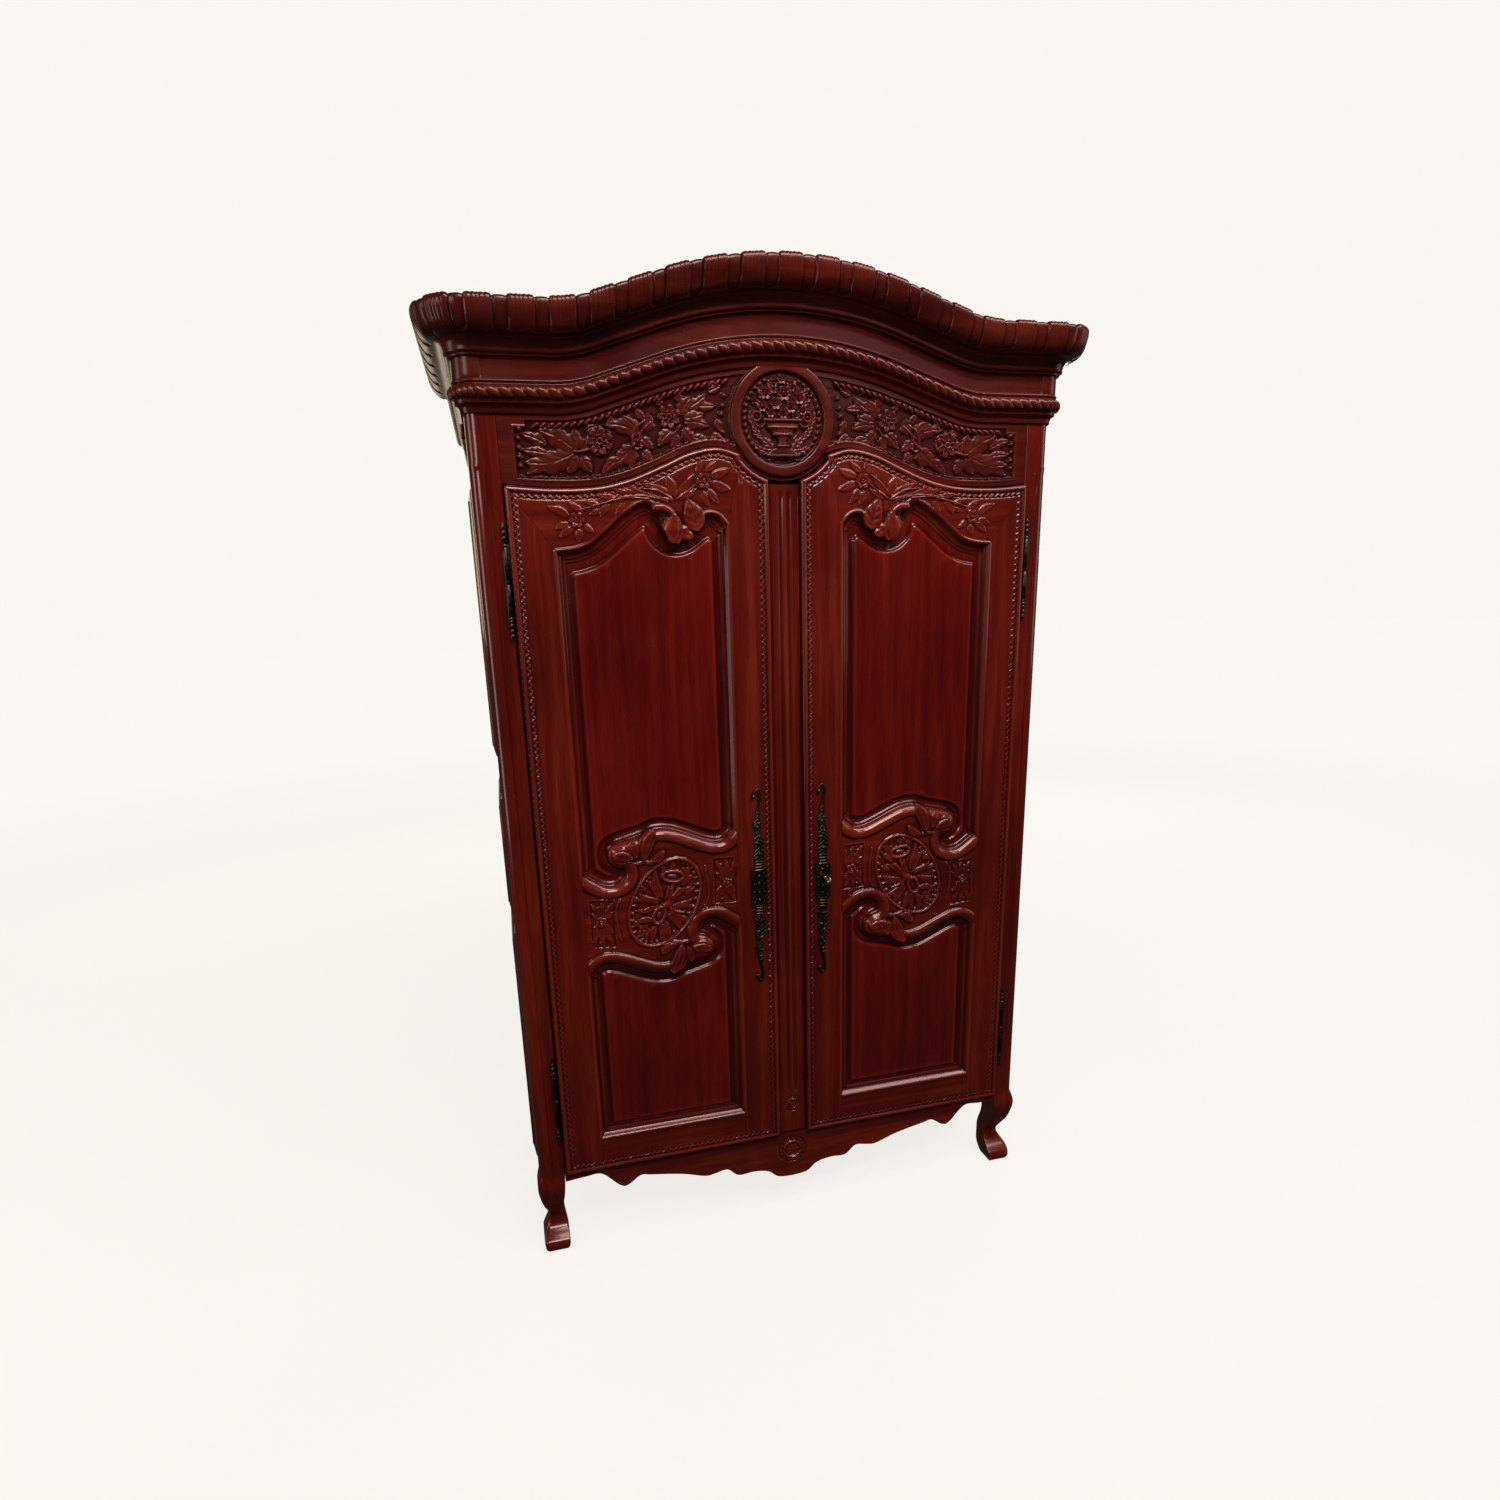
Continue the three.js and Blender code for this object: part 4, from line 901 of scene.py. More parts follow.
def flower_square(carving, low, high, flower_at, tilt):
    """A sunk square with a thin border, a small flower and leaves in its corners."""
    x, z = carving.points.T
    ground = FRAME_LEVEL - SQUARE_SUNK
    rise = tilt * (x - low[0])
    depth_in = np.minimum.reduce([x - low[0], high[0] - x, z - low[1] - rise, high[1] + rise - z])
    carving.sink(depth_in, ground, 1.4)
    border = np.clip(1 - np.abs(depth_in + 0.6) / 2.0, 0, 1)
    carving.lift_to(FRAME_LEVEL + 1.0 * np.sqrt(border), border > 0)
    fz = flower_at[1]
    x0, x1 = low[0] + 4, high[0] - 4
    z0, z1 = low[1] + 5, high[1] - 4
    mid = (x0 + x1) / 2
    for end, mid_end in ((z1, z1 + 1), (z0, z0)):
        between = (fz + end) / 2
        for tip in ((x0, end), (mid, mid_end), (x1, end), (x0, between), (x1, between)):
            away = np.array(tip) - flower_at
            steep = abs(away[1]) > 30
            start = np.array(flower_at) + away * (0.16 if steep else 0.3)
            carving.leaf(start, tip, 17 if steep else 13, ground, 3.0, veins=3, lobes=2, bend=0.05, cut=0.1)
    for share in (0.55, 0.8):
        for end in (z0, z1):
            carving.bead((mid + 9, fz + (end - fz) * share), 3.0, ground, 4.0)
    carving.flower(flower_at, 13.5, ground, 5.4, petals=5)


def bow_and_leaves(carving, ground):
    """The ribbon bow, rays of leaves, flower and scalloped rim inside the oval."""
    (cx, cz), turn = OVAL_CENTRE, OVAL_TURN
    for k in range(OVAL_BEADS):
        angle = 2 * math.pi * (k + 0.5) / OVAL_BEADS
        u, v = (OVAL_HALF[0] - 10.5) * math.cos(angle), (OVAL_HALF[1] - 10.5) * math.sin(angle)
        at = (cx + u * math.cos(turn) - v * math.sin(turn), cz + u * math.sin(turn) + v * math.cos(turn))
        carving.oval(at, (6.6, 4.2), angle + turn, ground, 3.6)
    rays = [
        ((322, 920), (374, 946), 13, -0.12), ((326, 914), (388, 926), 12, 0.10),
        ((328, 908), (384, 902), 13, -0.10), ((326, 924), (356, 974), 16, 0.14),
        ((316, 926), (330, 1002), 17, -0.08), ((312, 918), (300, 958), 10, 0.10),
        ((298, 912), (246, 946), 14, -0.12), ((296, 904), (238, 920), 13, 0.10),
        ((298, 898), (240, 896), 13, -0.08), ((302, 890), (250, 866), 15, 0.10),
        ((306, 884), (272, 836), 17, -0.08), ((314, 870), (298, 820), 17, 0.06),
        ((324, 862), (322, 812), 17, -0.05), ((334, 860), (346, 818), 15, 0.08),
        ((342, 874), (386, 872), 14, 0.08), ((270, 952), (240, 974), 15, -0.06),
        ((266, 968), (248, 1000), 15, 0.06), ((290, 992), (284, 1016), 13, 0.0),
        ((310, 986), (312, 1012), 12, 0.0), ((352, 950), (384, 960), 12, 0.05),
        ((374, 862), (392, 880), 11, 0.0), ((356, 836), (366, 826), 10, 0.0),
        ((262, 930), (236, 944), 10, 0.0)]
    for base, tip, width, bend in rays:
        carving.leaf(base, tip, 1.1 * width, ground, 4.4, veins=2, bend=bend, cut=0.10)
    carving.flower((364, 849), 16, ground, 5.6, petals=6)
    carving.flower((262, 986), 9, ground, 4.6, petals=5)
    knot, loops = (308, 908), (((326, 884), (21, 13), (10, 5), 112), ((289, 976), (25, 13), (13, 5), 8))
    for (centre, half, hollow, turn), (rim, inner) in zip(loops, ((6.4, 3.0), (6.0, 3.4))):
        carving.ring(centre, half, math.radians(turn), 4.6, ground, rim)
        carving.oval(centre, hollow, math.radians(turn), ground, inner)
    for bend, end, width, rise in (((292, 926), (276, 944), 9, 5.4), ((296, 932), (288, 962), 8, 5.0),
                                   ((290, 892), (268, 884), 8, 5.0)):
        carving.stem([knot, bend, end], width, ground, rise)
    carving.oval((307, 909), (15, 9), math.radians(150), ground, 7.4)


SCROLL_LOBES = [                   # base, tip, width, how far sunk, rise, bend
    ((380, 1030), (426, 1040), 40, 1, 10.5, 0.05), ((372, 1030), (378, 1066), 30, 1, 9.0, 0.0),
    ((356, 1020), (330, 1092), 36, 1, 10.5, -0.10), ((344, 1018), (306, 1040), 22, 0, 6.0, 0.10)]
SCROLL_STEMS = [                   # points, width, rise
    ([(388, 1012), (360, 1018), (338, 1014)], 11, 4.0),
    ([(416, 934), (425, 915), (426, 884), (420, 834)], 5, 2.6),
    ([(408, 936), (418, 912), (419, 884), (412, 838)], 3.4, 1.6)]


def mid_rail_height(points):
    """Scrolled bands along both openings, squares with flowers, and the oval between them."""
    into = -opening_depth(points)
    on_band = (into > BAND[0][0]) & (into < BAND[-1][0])
    carving = Carving(points, np.where(on_band, profile(into, BAND), frame_height(points)))
    ground = FRAME_LEVEL
    for place in (np.array, lambda p: 2 * RAIL_CENTRE - np.array(p)):
        for base, tip, width, sunk, rise, bend in SCROLL_LOBES:
            carving.petal(place(base), place(tip), width, ground - sunk, rise, bend=bend)
        carving.bead(place((352, 1046)), 6, ground, 9.0)
        for line, width, rise in SCROLL_STEMS:
            carving.stem(place(line), width, ground, rise)
    flower_square(carving, (430, 817), (488, 934), (462, 884), 0.10)
    flower_square(carving, (134, 894), (192, 1008), (158, 945), 0.04)
    depth_in = (1 - oval_reach(carving.points, OVAL_CENTRE, OVAL_HALF, OVAL_TURN)) * min(OVAL_HALF) * 1.15
    carving.sink(depth_in - 5.5, ground - OVAL_SUNK, 2.0)
    rim = np.clip(1 - np.abs(depth_in - 3.0) / 3.4, 0, 1)
    carving.lift_to(ground + 3.2 * np.sqrt(rim), rim > 0)
    groove = np.clip(1 - np.abs(depth_in + 2.6) / 1.8, 0, 1)
    carving.heights = carving.heights - 1.2 * groove
    kept = carving.heights.copy()
    bow_and_leaves(carving, ground - OVAL_SUNK)
    return np.where(depth_in > 5.5, carving.heights, kept)


def mid_rail_shape():
    """The middle rail, a wave that ends in hooked scrolls and repeats when turned half round."""
    body = np.vstack([RAIL_TOP, RAIL_BOTTOM])

    def inside(points):
        distance = np.minimum(nearest(points, RAIL_TOP)[0], nearest(points, RAIL_BOTTOM)[0])
        ends = np.minimum(points[:, 0] - PANEL_INNER, PANEL_OUTER - points[:, 0]) - JOINT
        curves = np.where(within(points, body), distance, -distance) + STICK
        x, z = points.T
        mitres = np.minimum.reduce([
            PANEL_OUTER + RAIL_TOP_OUTER - x - z, RAIL_TOP_INNER - PANEL_INNER + x - z,
            z - x - RAIL_LOW_OUTER + PANEL_OUTER, x + z - PANEL_INNER - RAIL_LOW_INNER])
        return np.minimum.reduce([ends, curves, mitres / math.sqrt(2) - JOINT])

    low, high = body.min(0) - (0, STICK), body.max(0) + (0, STICK)
    return relief(inside, mid_rail_height, low, high, DOOR_FACE, DOOR_BACK, step=1.6, outline=body)


def panel_shape(opening, margins):
    """A raised panel that fills an opening. margins are the flat's widths at sides, top and bottom."""
    flat, field = DOOR_FACE - (PANEL_BACK - 10.0), DOOR_FACE - FIELD_FRONT
    at_side, at_top, at_bottom = margins
    low, high = opening.min(0), opening.max(0)
    middle = (low[1] + high[1]) / 2
    upright = np.abs(np.diff(np.vstack([opening, opening[:1]]), axis=0)[:, 0]) < 1e-6
    shaped = opening[np.concatenate([[True], ~upright[:-1]]) | ~upright]
    top_line = shaped[shaped[:, 1] > middle]
    bottom_line = shaped[shaped[:, 1] < middle]

    def height(points):
        sides = np.minimum(points[:, 0] - PANEL_INNER, PANEL_OUTER - points[:, 0]) - at_side
        top = nearest(points, top_line)[0] - at_top
        bottom = nearest(points, bottom_line)[0] - at_bottom
        depth_in = np.minimum.reduce([sides, top, bottom])
        return profile(depth_in, [(-1.5, flat - 1.2), (0, flat), (4.4, field - 0.5), (5.4, field)])

    def inside(points):
        return depth_inside(points, opening) - STICK + 5

    (x0, z0), (x1, z1) = low + 6, high - 6
    outline = polygon((x0, z0), (x1, z0), (x1, z1), (x0, z1))
    return relief(inside, height, low, high, DOOR_FACE, PANEL_BACK, step=2.2, outline=outline)


def make_doors():
    """Both doors: stiles, rails and panels, each a piece of its own."""
    upright, level = MAHOGANY["z"], MAHOGANY["x"]
    parts = [
        ("hinge_stile", frame_member(HINGE_STILE_LOOP), upright),
        ("lock_stile", frame_member(LOCK_STILE_LOOP), upright),
        ("bottom_rail", frame_member(BOTTOM_RAIL_LOOP), level),
        ("top_rail", top_rail_shape(), level),
        ("mid_rail", mid_rail_shape(), level),
        ("upper_panel", panel_shape(UPPER_OPENING, (31, 45, 30)), PANEL_WOOD),
        ("lower_panel", panel_shape(LOWER_OPENING, (31, 31, 27)), PANEL_WOOD)]
    for name, side in SIDES:
        for part, shape, material in parts:
            slot = "mahogany_panel" if "panel" in part else "mahogany"
            piece(f"{name}_{part}_carved", sided(shape, side), f"{name}_door", material,
                  [f"{name}_door_{part}"])


# ---------------------------------------------------------------- frieze and medallion

FRIEZE_GROUND = -4.6
ROPE_BELOW = 20.0                  # from the cornice's lower edge to the middle of the frieze's rope
FRIEZE_REACH = POST_INNER - GAP
FRIEZE_ARC = 123.0
DOOR_TOP_GAP = 4.0


def under_cornice(x):
    """Height of the cornice's lower edge."""
    return CROWN_SIDE + crown_lift(x) - CORNICE_HIGH - GAP


def frieze_bottom(x):
    """Lower edge of the frieze: over the doors' tops, then round the medallion."""
    u = np.abs(x)
    over_doors = outline_height(u, DOOR_TOP) + DOOR_TOP_GAP
    round_disc = MEDALLION_Z - np.sqrt(np.maximum(FRIEZE_ARC ** 2 - np.minimum(u, FRIEZE_ARC) ** 2, 0))
    return np.where(u > 95, over_doors, round_disc)


def frieze_height(both_halves):
    """Sprays of leaves and flowers on a sunk ground, a rope along the top and scallops along the bottom."""
    points = np.column_stack([np.abs(both_halves[:, 0]), both_halves[:, 1]])
    x, z = points.T
    top, bottom = under_cornice(x), frieze_bottom(x)
    disc = np.hypot(x, z - MEDALLION_Z)
    carving = Carving(points, np.zeros(len(points)))
    slope = np.cos(np.arctan(np.gradient(crown_lift(np.linspace(0, 600, 601)))))
    level = slope[np.clip(x.astype(int), 0, 600)]
    below_top = (top - z) * level
    depth_in = np.minimum.reduce([
        below_top - ROPE_BELOW - 5, z - bottom - 13.5, 564 - x, disc - MEDALLION_R - 2.5])
    carving.sink(depth_in, FRIEZE_GROUND, 1.6)
    edge = np.clip(1 - np.abs(depth_in + 3) / 3, 0, 1)
    carving.heights = carving.heights + 0.8 * np.sqrt(edge)
    over_edge = z - bottom
    scallop = np.clip(1 - np.abs(over_edge - 15.5 - 1.6 * np.abs(np.sin(x / 7.0))) / 2.4, 0, 1)
    low_band = (over_edge > 12) & (over_edge < 21) & (x < 560) & (disc > MEDALLION_R + 8)
    carving.lift_to(FRIEZE_GROUND + 4.6 * np.sqrt(scallop), low_band)
    trough = (np.abs(below_top - ROPE_BELOW) < 9) & (x < 540) & (disc > MEDALLION_R + 2)
    carving.heights = np.where(trough, -4.2, carving.heights)

    ground = FRIEZE_GROUND
    rope_x = np.linspace(528, 118, 240)
    rope_z = under_cornice(rope_x) - ROPE_BELOW / slope[rope_x.astype(int)]
    rope_line(carving, np.column_stack([rope_x, rope_z]), 15.0, (11.0, 5.0), ground, 8.0, lean=-0.62)
    leaves = [
        # the outer spray
        ((441, 1900), (517, 1940), 34, 3, 0.06), ((446, 1898), (549, 1879), 38, 3, -0.10),
        ((438, 1904), (446, 1944), 22, 2, 0.05), ((432, 1902), (412, 1930), 16, 0, 0.0),
        ((452, 1892), (512, 1861), 24, 2, 0.06), ((440, 1892), (462, 1858), 22, 2, -0.05),
        ((432, 1890), (414, 1860), 24, 2, 0.05), ((470, 1908), (486, 1946), 18, 0, 0.05),
        ((500, 1912), (552, 1932), 20, 2, 0.05), ((500, 1896), (552, 1902), 16, 0, 0.0),
        ((486, 1878), (546, 1856), 18, 0, 0.04), ((420, 1940), (396, 1950), 12, 0, 0.0),
        # between the two flowers
        ((310, 1934), (382, 1950), 26, 3, 0.10), ((312, 1938), (345, 1968), 22, 2, 0.05),
        ((327, 1912), (368, 1874), 28, 3, -0.06), ((322, 1906), (334, 1868), 20, 2, 0.04),
        ((356, 1890), (392, 1858), 20, 2, 0.0), ((306, 1928), (280, 1906), 20, 2, 0.05),
        ((306, 1900), (286, 1886), 18, 0, 0.0), ((296, 1940), (290, 1976), 24, 2, 0.10),
        ((300, 1962), (318, 1984), 14, 0, 0.0), ((370, 1950), (364, 1968), 12, 0, 0.0),
        # from the inner flower to the medallion
        ((262, 1988), (268, 2002), 12, 0, 0.0), ((241, 1942), (272, 1911), 24, 3, 0.06),
        ((236, 1940), (240, 1904), 20, 2, -0.05), ((222, 1972), (196, 2008), 26, 3, -0.08),
        ((216, 1966), (170, 1976), 24, 3, 0.06), ((214, 1958), (160, 1950), 22, 2, -0.08),
        ((218, 1946), (190, 1918), 24, 3, 0.05), ((206, 1986), (164, 2014), 20, 2, 0.05),
        ((184, 1990), (146, 1990), 18, 2, 0.0), ((196, 1930), (160, 1920), 18, 0, 0.0),
        ((226, 1996), (222, 2018), 14, 0, 0.0), ((156, 1936), (126, 1920), 18, 0, 0.05),
        ((160, 2018), (132, 2030), 14, 0, 0.0), ((146, 1966), (134, 1940), 14, 0, 0.0)]
    for base, tip, width, lobes, bend in leaves:
        carving.leaf(base, tip, 1.36 * width, ground, 4.6, veins=4, lobes=lobes, bend=bend, cut=0.08)
    for line in ([(441, 1899), (418, 1903), (400, 1912)], [(300, 1958), (318, 1944), (327, 1912)],
                 [(330, 1908), (312, 1922), (306, 1938), (286, 1956)],
                 [(226, 1950), (232, 1940), (244, 1934)]):
        carving.stem(line, 8, ground, 5.6, taper=0.2)
    carving.ring((393, 1919), (26, 26), 0, 2.2, ground, 3.6)
    for (cx, cz), radius in (((393, 1919), 28), ((247, 1968), 25)):
        carving.flower((cx, cz), radius, ground, 7.6, petals=7)
        for k in range(7):
            angle = 2 * math.pi * (k + 0.5) / 7
            at = (cx + 0.40 * radius * math.cos(angle), cz + 0.40 * radius * math.sin(angle))
            carving.bead(at, 3.0, ground + 3.5, 4.0)
    carving.flower((315, 1914), 12, ground, 6.4, petals=5)
    for at in ((127, 2011), (131, 1992), (134, 1975), (135, 1957), (131, 1940), (122, 1922),
               (556, 1924), (556, 1906), (556, 1889), (556, 1872), (553, 1941)):
        carving.oval(at, (6.4, 4.8), 0.9, ground, 6.6)
    return carving.heights


def make_frieze():
    """The carved board over the doors, up to the cornice's lower edge, and the plain strip behind it."""
    def upper_edge(x):
        return under_cornice(x) + 1.5

    def inside(points):
        x, z = points.T
        return np.minimum.reduce([FRIEZE_REACH - np.abs(x), upper_edge(x) - z, z - frieze_bottom(x),
                                  np.hypot(x, z - MEDALLION_Z) - MEDALLION_R + 4])

    low, high = (-FRIEZE_REACH, frieze_bottom(0.0)), (FRIEZE_REACH, under_cornice(0.0) - 20)
    shape = relief(inside, frieze_height, low, high, CASE_FRONT, FRIEZE_BACK,
                   rows=(frieze_bottom, upper_edge))
    # painted shade: the sunk ground behind the front gets a higher cavity value, so it is painted darker
    shape.cavity[0] = shape.cavity[0] + 0.30 * np.clip((shape.points[0][:, 1] - CASE_FRONT) / 3, 0, 1)
    x = np.linspace(-FRIEZE_REACH, FRIEZE_REACH, 61)
    y0, y1 = CASE_FRONT + 2, FRIEZE_BACK
    lower, upper = under_cornice(x) - 4, CASE_TOP + crown_lift(x) - GAP
    shape.join(loft([[(a, y0, b), (a, y0, c), (a, y1, c), (a, y1, b)] for a, b, c in zip(x, lower, upper)]))
    outline = np.vstack([np.column_stack([x, frieze_bottom(x)]), np.column_stack([x, lower])[::-1]])
    with_back(shape, outline, FRIEZE_BACK)
    piece("frieze_carved", shape, "case", SHADED_CROWN_WOOD["x"], ["frieze_board"])


MEDALLION_GROUND = -9.5
MEDALLION_SECTION = [
    (0, MEDALLION_GROUND), (91, MEDALLION_GROUND), (92.5, -8.5), (93.5, -3.5), (95, -1.0), (97.5, -0.3),
    (101, 0), (110, 0), (113.5, -0.7), (115.2, -2.0), (MEDALLION_R, -4.5)]
MEDALLION_LEAVES = [               # base, tip, width, rise, veins, lobes, bend, for the right half
    (20, -68, 55, -32, 24, 6.6, 5, 3, 0.06), (24, -70, 66, -50, 18, 6.0, 4, 2, -0.05),
    (50, -38, 68, -8, 18, 6.0, 4, 2, -0.05), (66, -14, 72, 20, 14, 5.4, 4, 0, -0.05),
    (44, 12, 66, 44, 16, 5.6, 4, 2, 0.06), (40, 34, 54, 64, 17, 5.8, 4, 2, 0.0),
    (20, 54, 32, 80, 15, 5.4, 4, 0, 0.0), (12, -74, 40, -82, 10, 5.0, 3, 0, 0.0)]
MEDALLION_FLOWERS = [              # place, radius
    (0, 78, 11), (-18, 70, 10), (20, 68, 10), (-37, 51, 15), (5, 50, 17), (39, 41, 14), (-14, 30, 14),
    (-44, 24, 12), (20, 24, 14), (46, 18, 11), (-26, 12, 11), (2, 10, 12), (30, 8, 10), (-62, 36, 8),
    (62, 52, 8), (22, 62, 9), (-18, 58, 9)]


def medallion_height(points):
    """Ring, urn on a foot, flowers, handles, and a garland round the inside of the ring."""
    x, z = points[:, 0], points[:, 1]
    u = np.abs(x)
    carving = Carving(points, profile(np.hypot(x, z), MEDALLION_SECTION))
    ground = MEDALLION_GROUND

    def turned_part(half_width, low, high, rise, roundness=0.5):
        """A solid of revolution seen from the front, as high as it is round."""
        half = np.maximum(half_width, 0.1)
        where = (z > low) & (z < high) & (u < half)
        carving.lift_to(ground + rise * (1 - roundness + roundness * dome(u / half)), where)

    for k in range(40):
        angle = 2 * math.pi * k / 40
        at = (84 * math.cos(angle), 84 * math.sin(angle))
        if at[1] > -70 and not (at[1] > 72 and abs(at[0]) < 30):
            carving.oval(at, (6.2, 4.4), angle + 1.1, ground, 5.6)
    for sign in (-1, 1):
        for x0, z0, x1, z1, width, rise, veins, lobes, bend in MEDALLION_LEAVES:
            carving.leaf((sign * x0, z0), (sign * x1, z1), width, ground, rise, veins, bend * sign, lobes)
        handle = [(sign * 38, -6), (sign * 47, -16), (sign * 58, -12), (sign * 65, 2)]
        carving.stem(handle, 6, ground, 6.0)
        carving.ring((sign * 57, 5), (9, 9), 0, 3.4, ground, 6.2)
        carving.bead((sign * 57, 5), 3.6, ground, 5.0)
    for x0, z0, size in MEDALLION_FLOWERS:
        carving.flower((x0, z0), size, ground, 7.4, petals=6)
    bowl = np.interp(z, [-31, -24, -16, -8], [20, 25, 33, 40])
    stem = np.interp(z, [-56, -50, -42, -31], [18, 9, 8, 20])
    foot = np.interp(z, [-74, -70, -62, -56], [36, 33, 24, 14])
    turned_part(stem, -56, -31, 7.2)
    turned_part(bowl, -31, -9, 8.6)
    turned_part(foot, -74, -54, 7.0, 0.3)
    for row, half in ((-2.5, 44), (-17, 34), (-31, 22), (-54, 14), (-73, 37)):
        bar = dome((z - row) / 3.4)
        carving.lift_to(ground + 6.4 + 3.0 * bar, (bar > 0) & (u < half))
    flutes = (z > -30) & (z < -19) & (u < bowl)
    return carving.heights - np.where(flutes, 0.9 * (0.5 + 0.5 * np.cos(x * 0.9)), 0)


def make_medallion():
    """The carved disc between the doors and the cornice."""
    centre = np.array([0.0, MEDALLION_Z])
    reach = np.array([MEDALLION_R, MEDALLION_R]) + 1

    def inside(points):
        disc = MEDALLION_R - np.hypot(*(points - centre).T)
        return np.minimum(disc, under_cornice(points[:, 0]) - points[:, 1])

    shape = relief(inside, lambda p: medallion_height(p - centre), centre - reach, centre + reach,
                   frieze_low[1], FRIEZE_BACK + 0.2, step=1.25)
    piece("medallion_carved", shape, "case", SHADED_CROWN_WOOD["x"])


# ---------------------------------------------------------------- cornice

FASCIA_BREAK = 618.0               # the plain corner blocks of the cornice's flat band start here
CORNICE_SECTION = [                # outward from the case, height below the crown's top edge
    (-18, -12), (-18, -139.7), (GAP, -139.7), (GAP, -190), (4.6, -190), (5.6, -189), (6.2, -183.5),
    (7, -180.5), (9, -177), (12, -174.5), (15.4, -173.2), (16, -171.5), (16, -167.6), (16.4, -166.4)]
ROPE_SECTION = [(17.0 + 9.6 * math.sin(a), -153.2 - 12.0 * math.cos(a))
                for a in np.linspace(0.15, 2.99, 13)]
MIDDLE_SECTION = [
    (16.6, -141.0), (15.4, -139.6), (15.2, -138.0), (17.2, -137.0), (18.6, -135.2), (18.8, -133.2),
    (17.6, -131.2), (15, -130.2), (14, -129.2), (14, -120), (14, -110), (14, -92.4), (14.6, -91.6),
    (19.6, -91.2), (21.4, -90.2), (22, -88.4), (21.6, -86.8), (22.4, -86.0), (25.8, -85.6), (27.6, -84.2),
    (28.2, -82.0), (27.8, -79.6), (28.2, -76.0), (29.4, -71.0), (31.6, -66.6), (35.4, -62.4),
    (40.0, -59.8), (45.4, -58.6)]
TONGUE_SECTION = spline([
    (48.0, -58.4), (56.0, -56.8), (64.5, -50.5), (71.5, -40.0), (76.5, -27.0), (79.0, -14.0), (78.2, -5.0),
    (73.5, -0.6), (66.0, 0.0)], 26)
TONGUE_RUN = np.concatenate([[0], np.cumsum(np.hypot(*np.diff(TONGUE_SECTION, axis=0).T))])
TONGUE_PERIOD = 78.0
TONGUE_HALF = 12.5
TONGUE_END = 19.0                  # the middle of a tongue's round end, up from the crown's lower line
REED = 9.0
ROPE_PITCH = 24.0


def tongues(along):
    """How far the crown's edge stands out: round-ended tongues in deep grooves, and reeds between them."""
    u = abs(along % TONGUE_PERIOD - TONGUE_PERIOD / 2)
    off = np.where(TONGUE_RUN > TONGUE_END, u, np.hypot(u, TONGUE_RUN - TONGUE_END)) - TONGUE_HALF
    tongue = -2.4 + 1.5 * np.sqrt(np.clip(-off / TONGUE_HALF, 0, 1))
    groove = 3.4 * np.exp(-((off - 1.2) / 1.8) ** 2)
    up = np.clip((TONGUE_RUN - 14) / 26, 0, 1)
    reeds = (0.6 + 1.2 * abs(math.sin(math.pi * u / REED))) * up
    return np.where(off < 0, tongue, np.where(off > 3, reeds, reeds * np.clip(off / 3, 0, 1))) - groove


def rope_bumps(along, share):
    """How far the cornice's rope bead stands out: twisted strands that slant up to the right."""
    phase = along / ROPE_PITCH + 0.9 * (share - 0.5)
    strand = np.abs(np.sin(math.pi * phase)) ** 0.5
    return (5.0 * strand - 3.6) * np.sin(math.pi * share) ** 0.35


def cornice_shape(stations, fascia=None):
    """The cornice's section carried along stations of [x, y, outward x, outward y, top, along]."""
    parts = (CORNICE_SECTION, ROPE_SECTION, MIDDLE_SECTION, TONGUE_SECTION)
    section = np.vstack(parts)
    rope_from, mid_from, tongue_from = np.cumsum([len(part) for part in parts])[:3]
    ahead, behind = np.roll(section, -1, 0), np.roll(section, 1, 0)
    normal = np.column_stack([(ahead - behind)[:, 1], -(ahead - behind)[:, 0]])
    normal /= np.hypot(*normal.T)[:, None]
    rope_share = np.linspace(0, 1, mid_from - rope_from)
    flat = (section[:, 1] > -129.5) & (section[:, 1] < -92) & (section[:, 0] < 14.5)
    rings, cavities = [], []
    for x, y, nx, ny, top, along in stations:
        lift = np.zeros(len(section))
        lift[rope_from:mid_from] = rope_bumps(along, rope_share)
        lift[tongue_from:] = tongues(along)
        lift[-1] *= 0.4
        # painted shade: sunk tongues, grooves and gaps between rope strands get a cavity value that paints
        # them darker; raised reeds and strands get a negative one, which the ridge tint makes paler
        cavities.append(np.clip(-0.25 - lift / 3.2, -0.35, 1) * (lift != 0))
        moved = section + normal * lift[:, None]
        if fascia is not None:
            moved[flat, 0] += fascia(x)
        rings.append(np.column_stack([x + nx * moved[:, 0], y + ny * moved[:, 0], top + moved[:, 1]]))
    shape = loft(rings)
    shape.cavity = [np.concatenate(cavities)]
    return shape


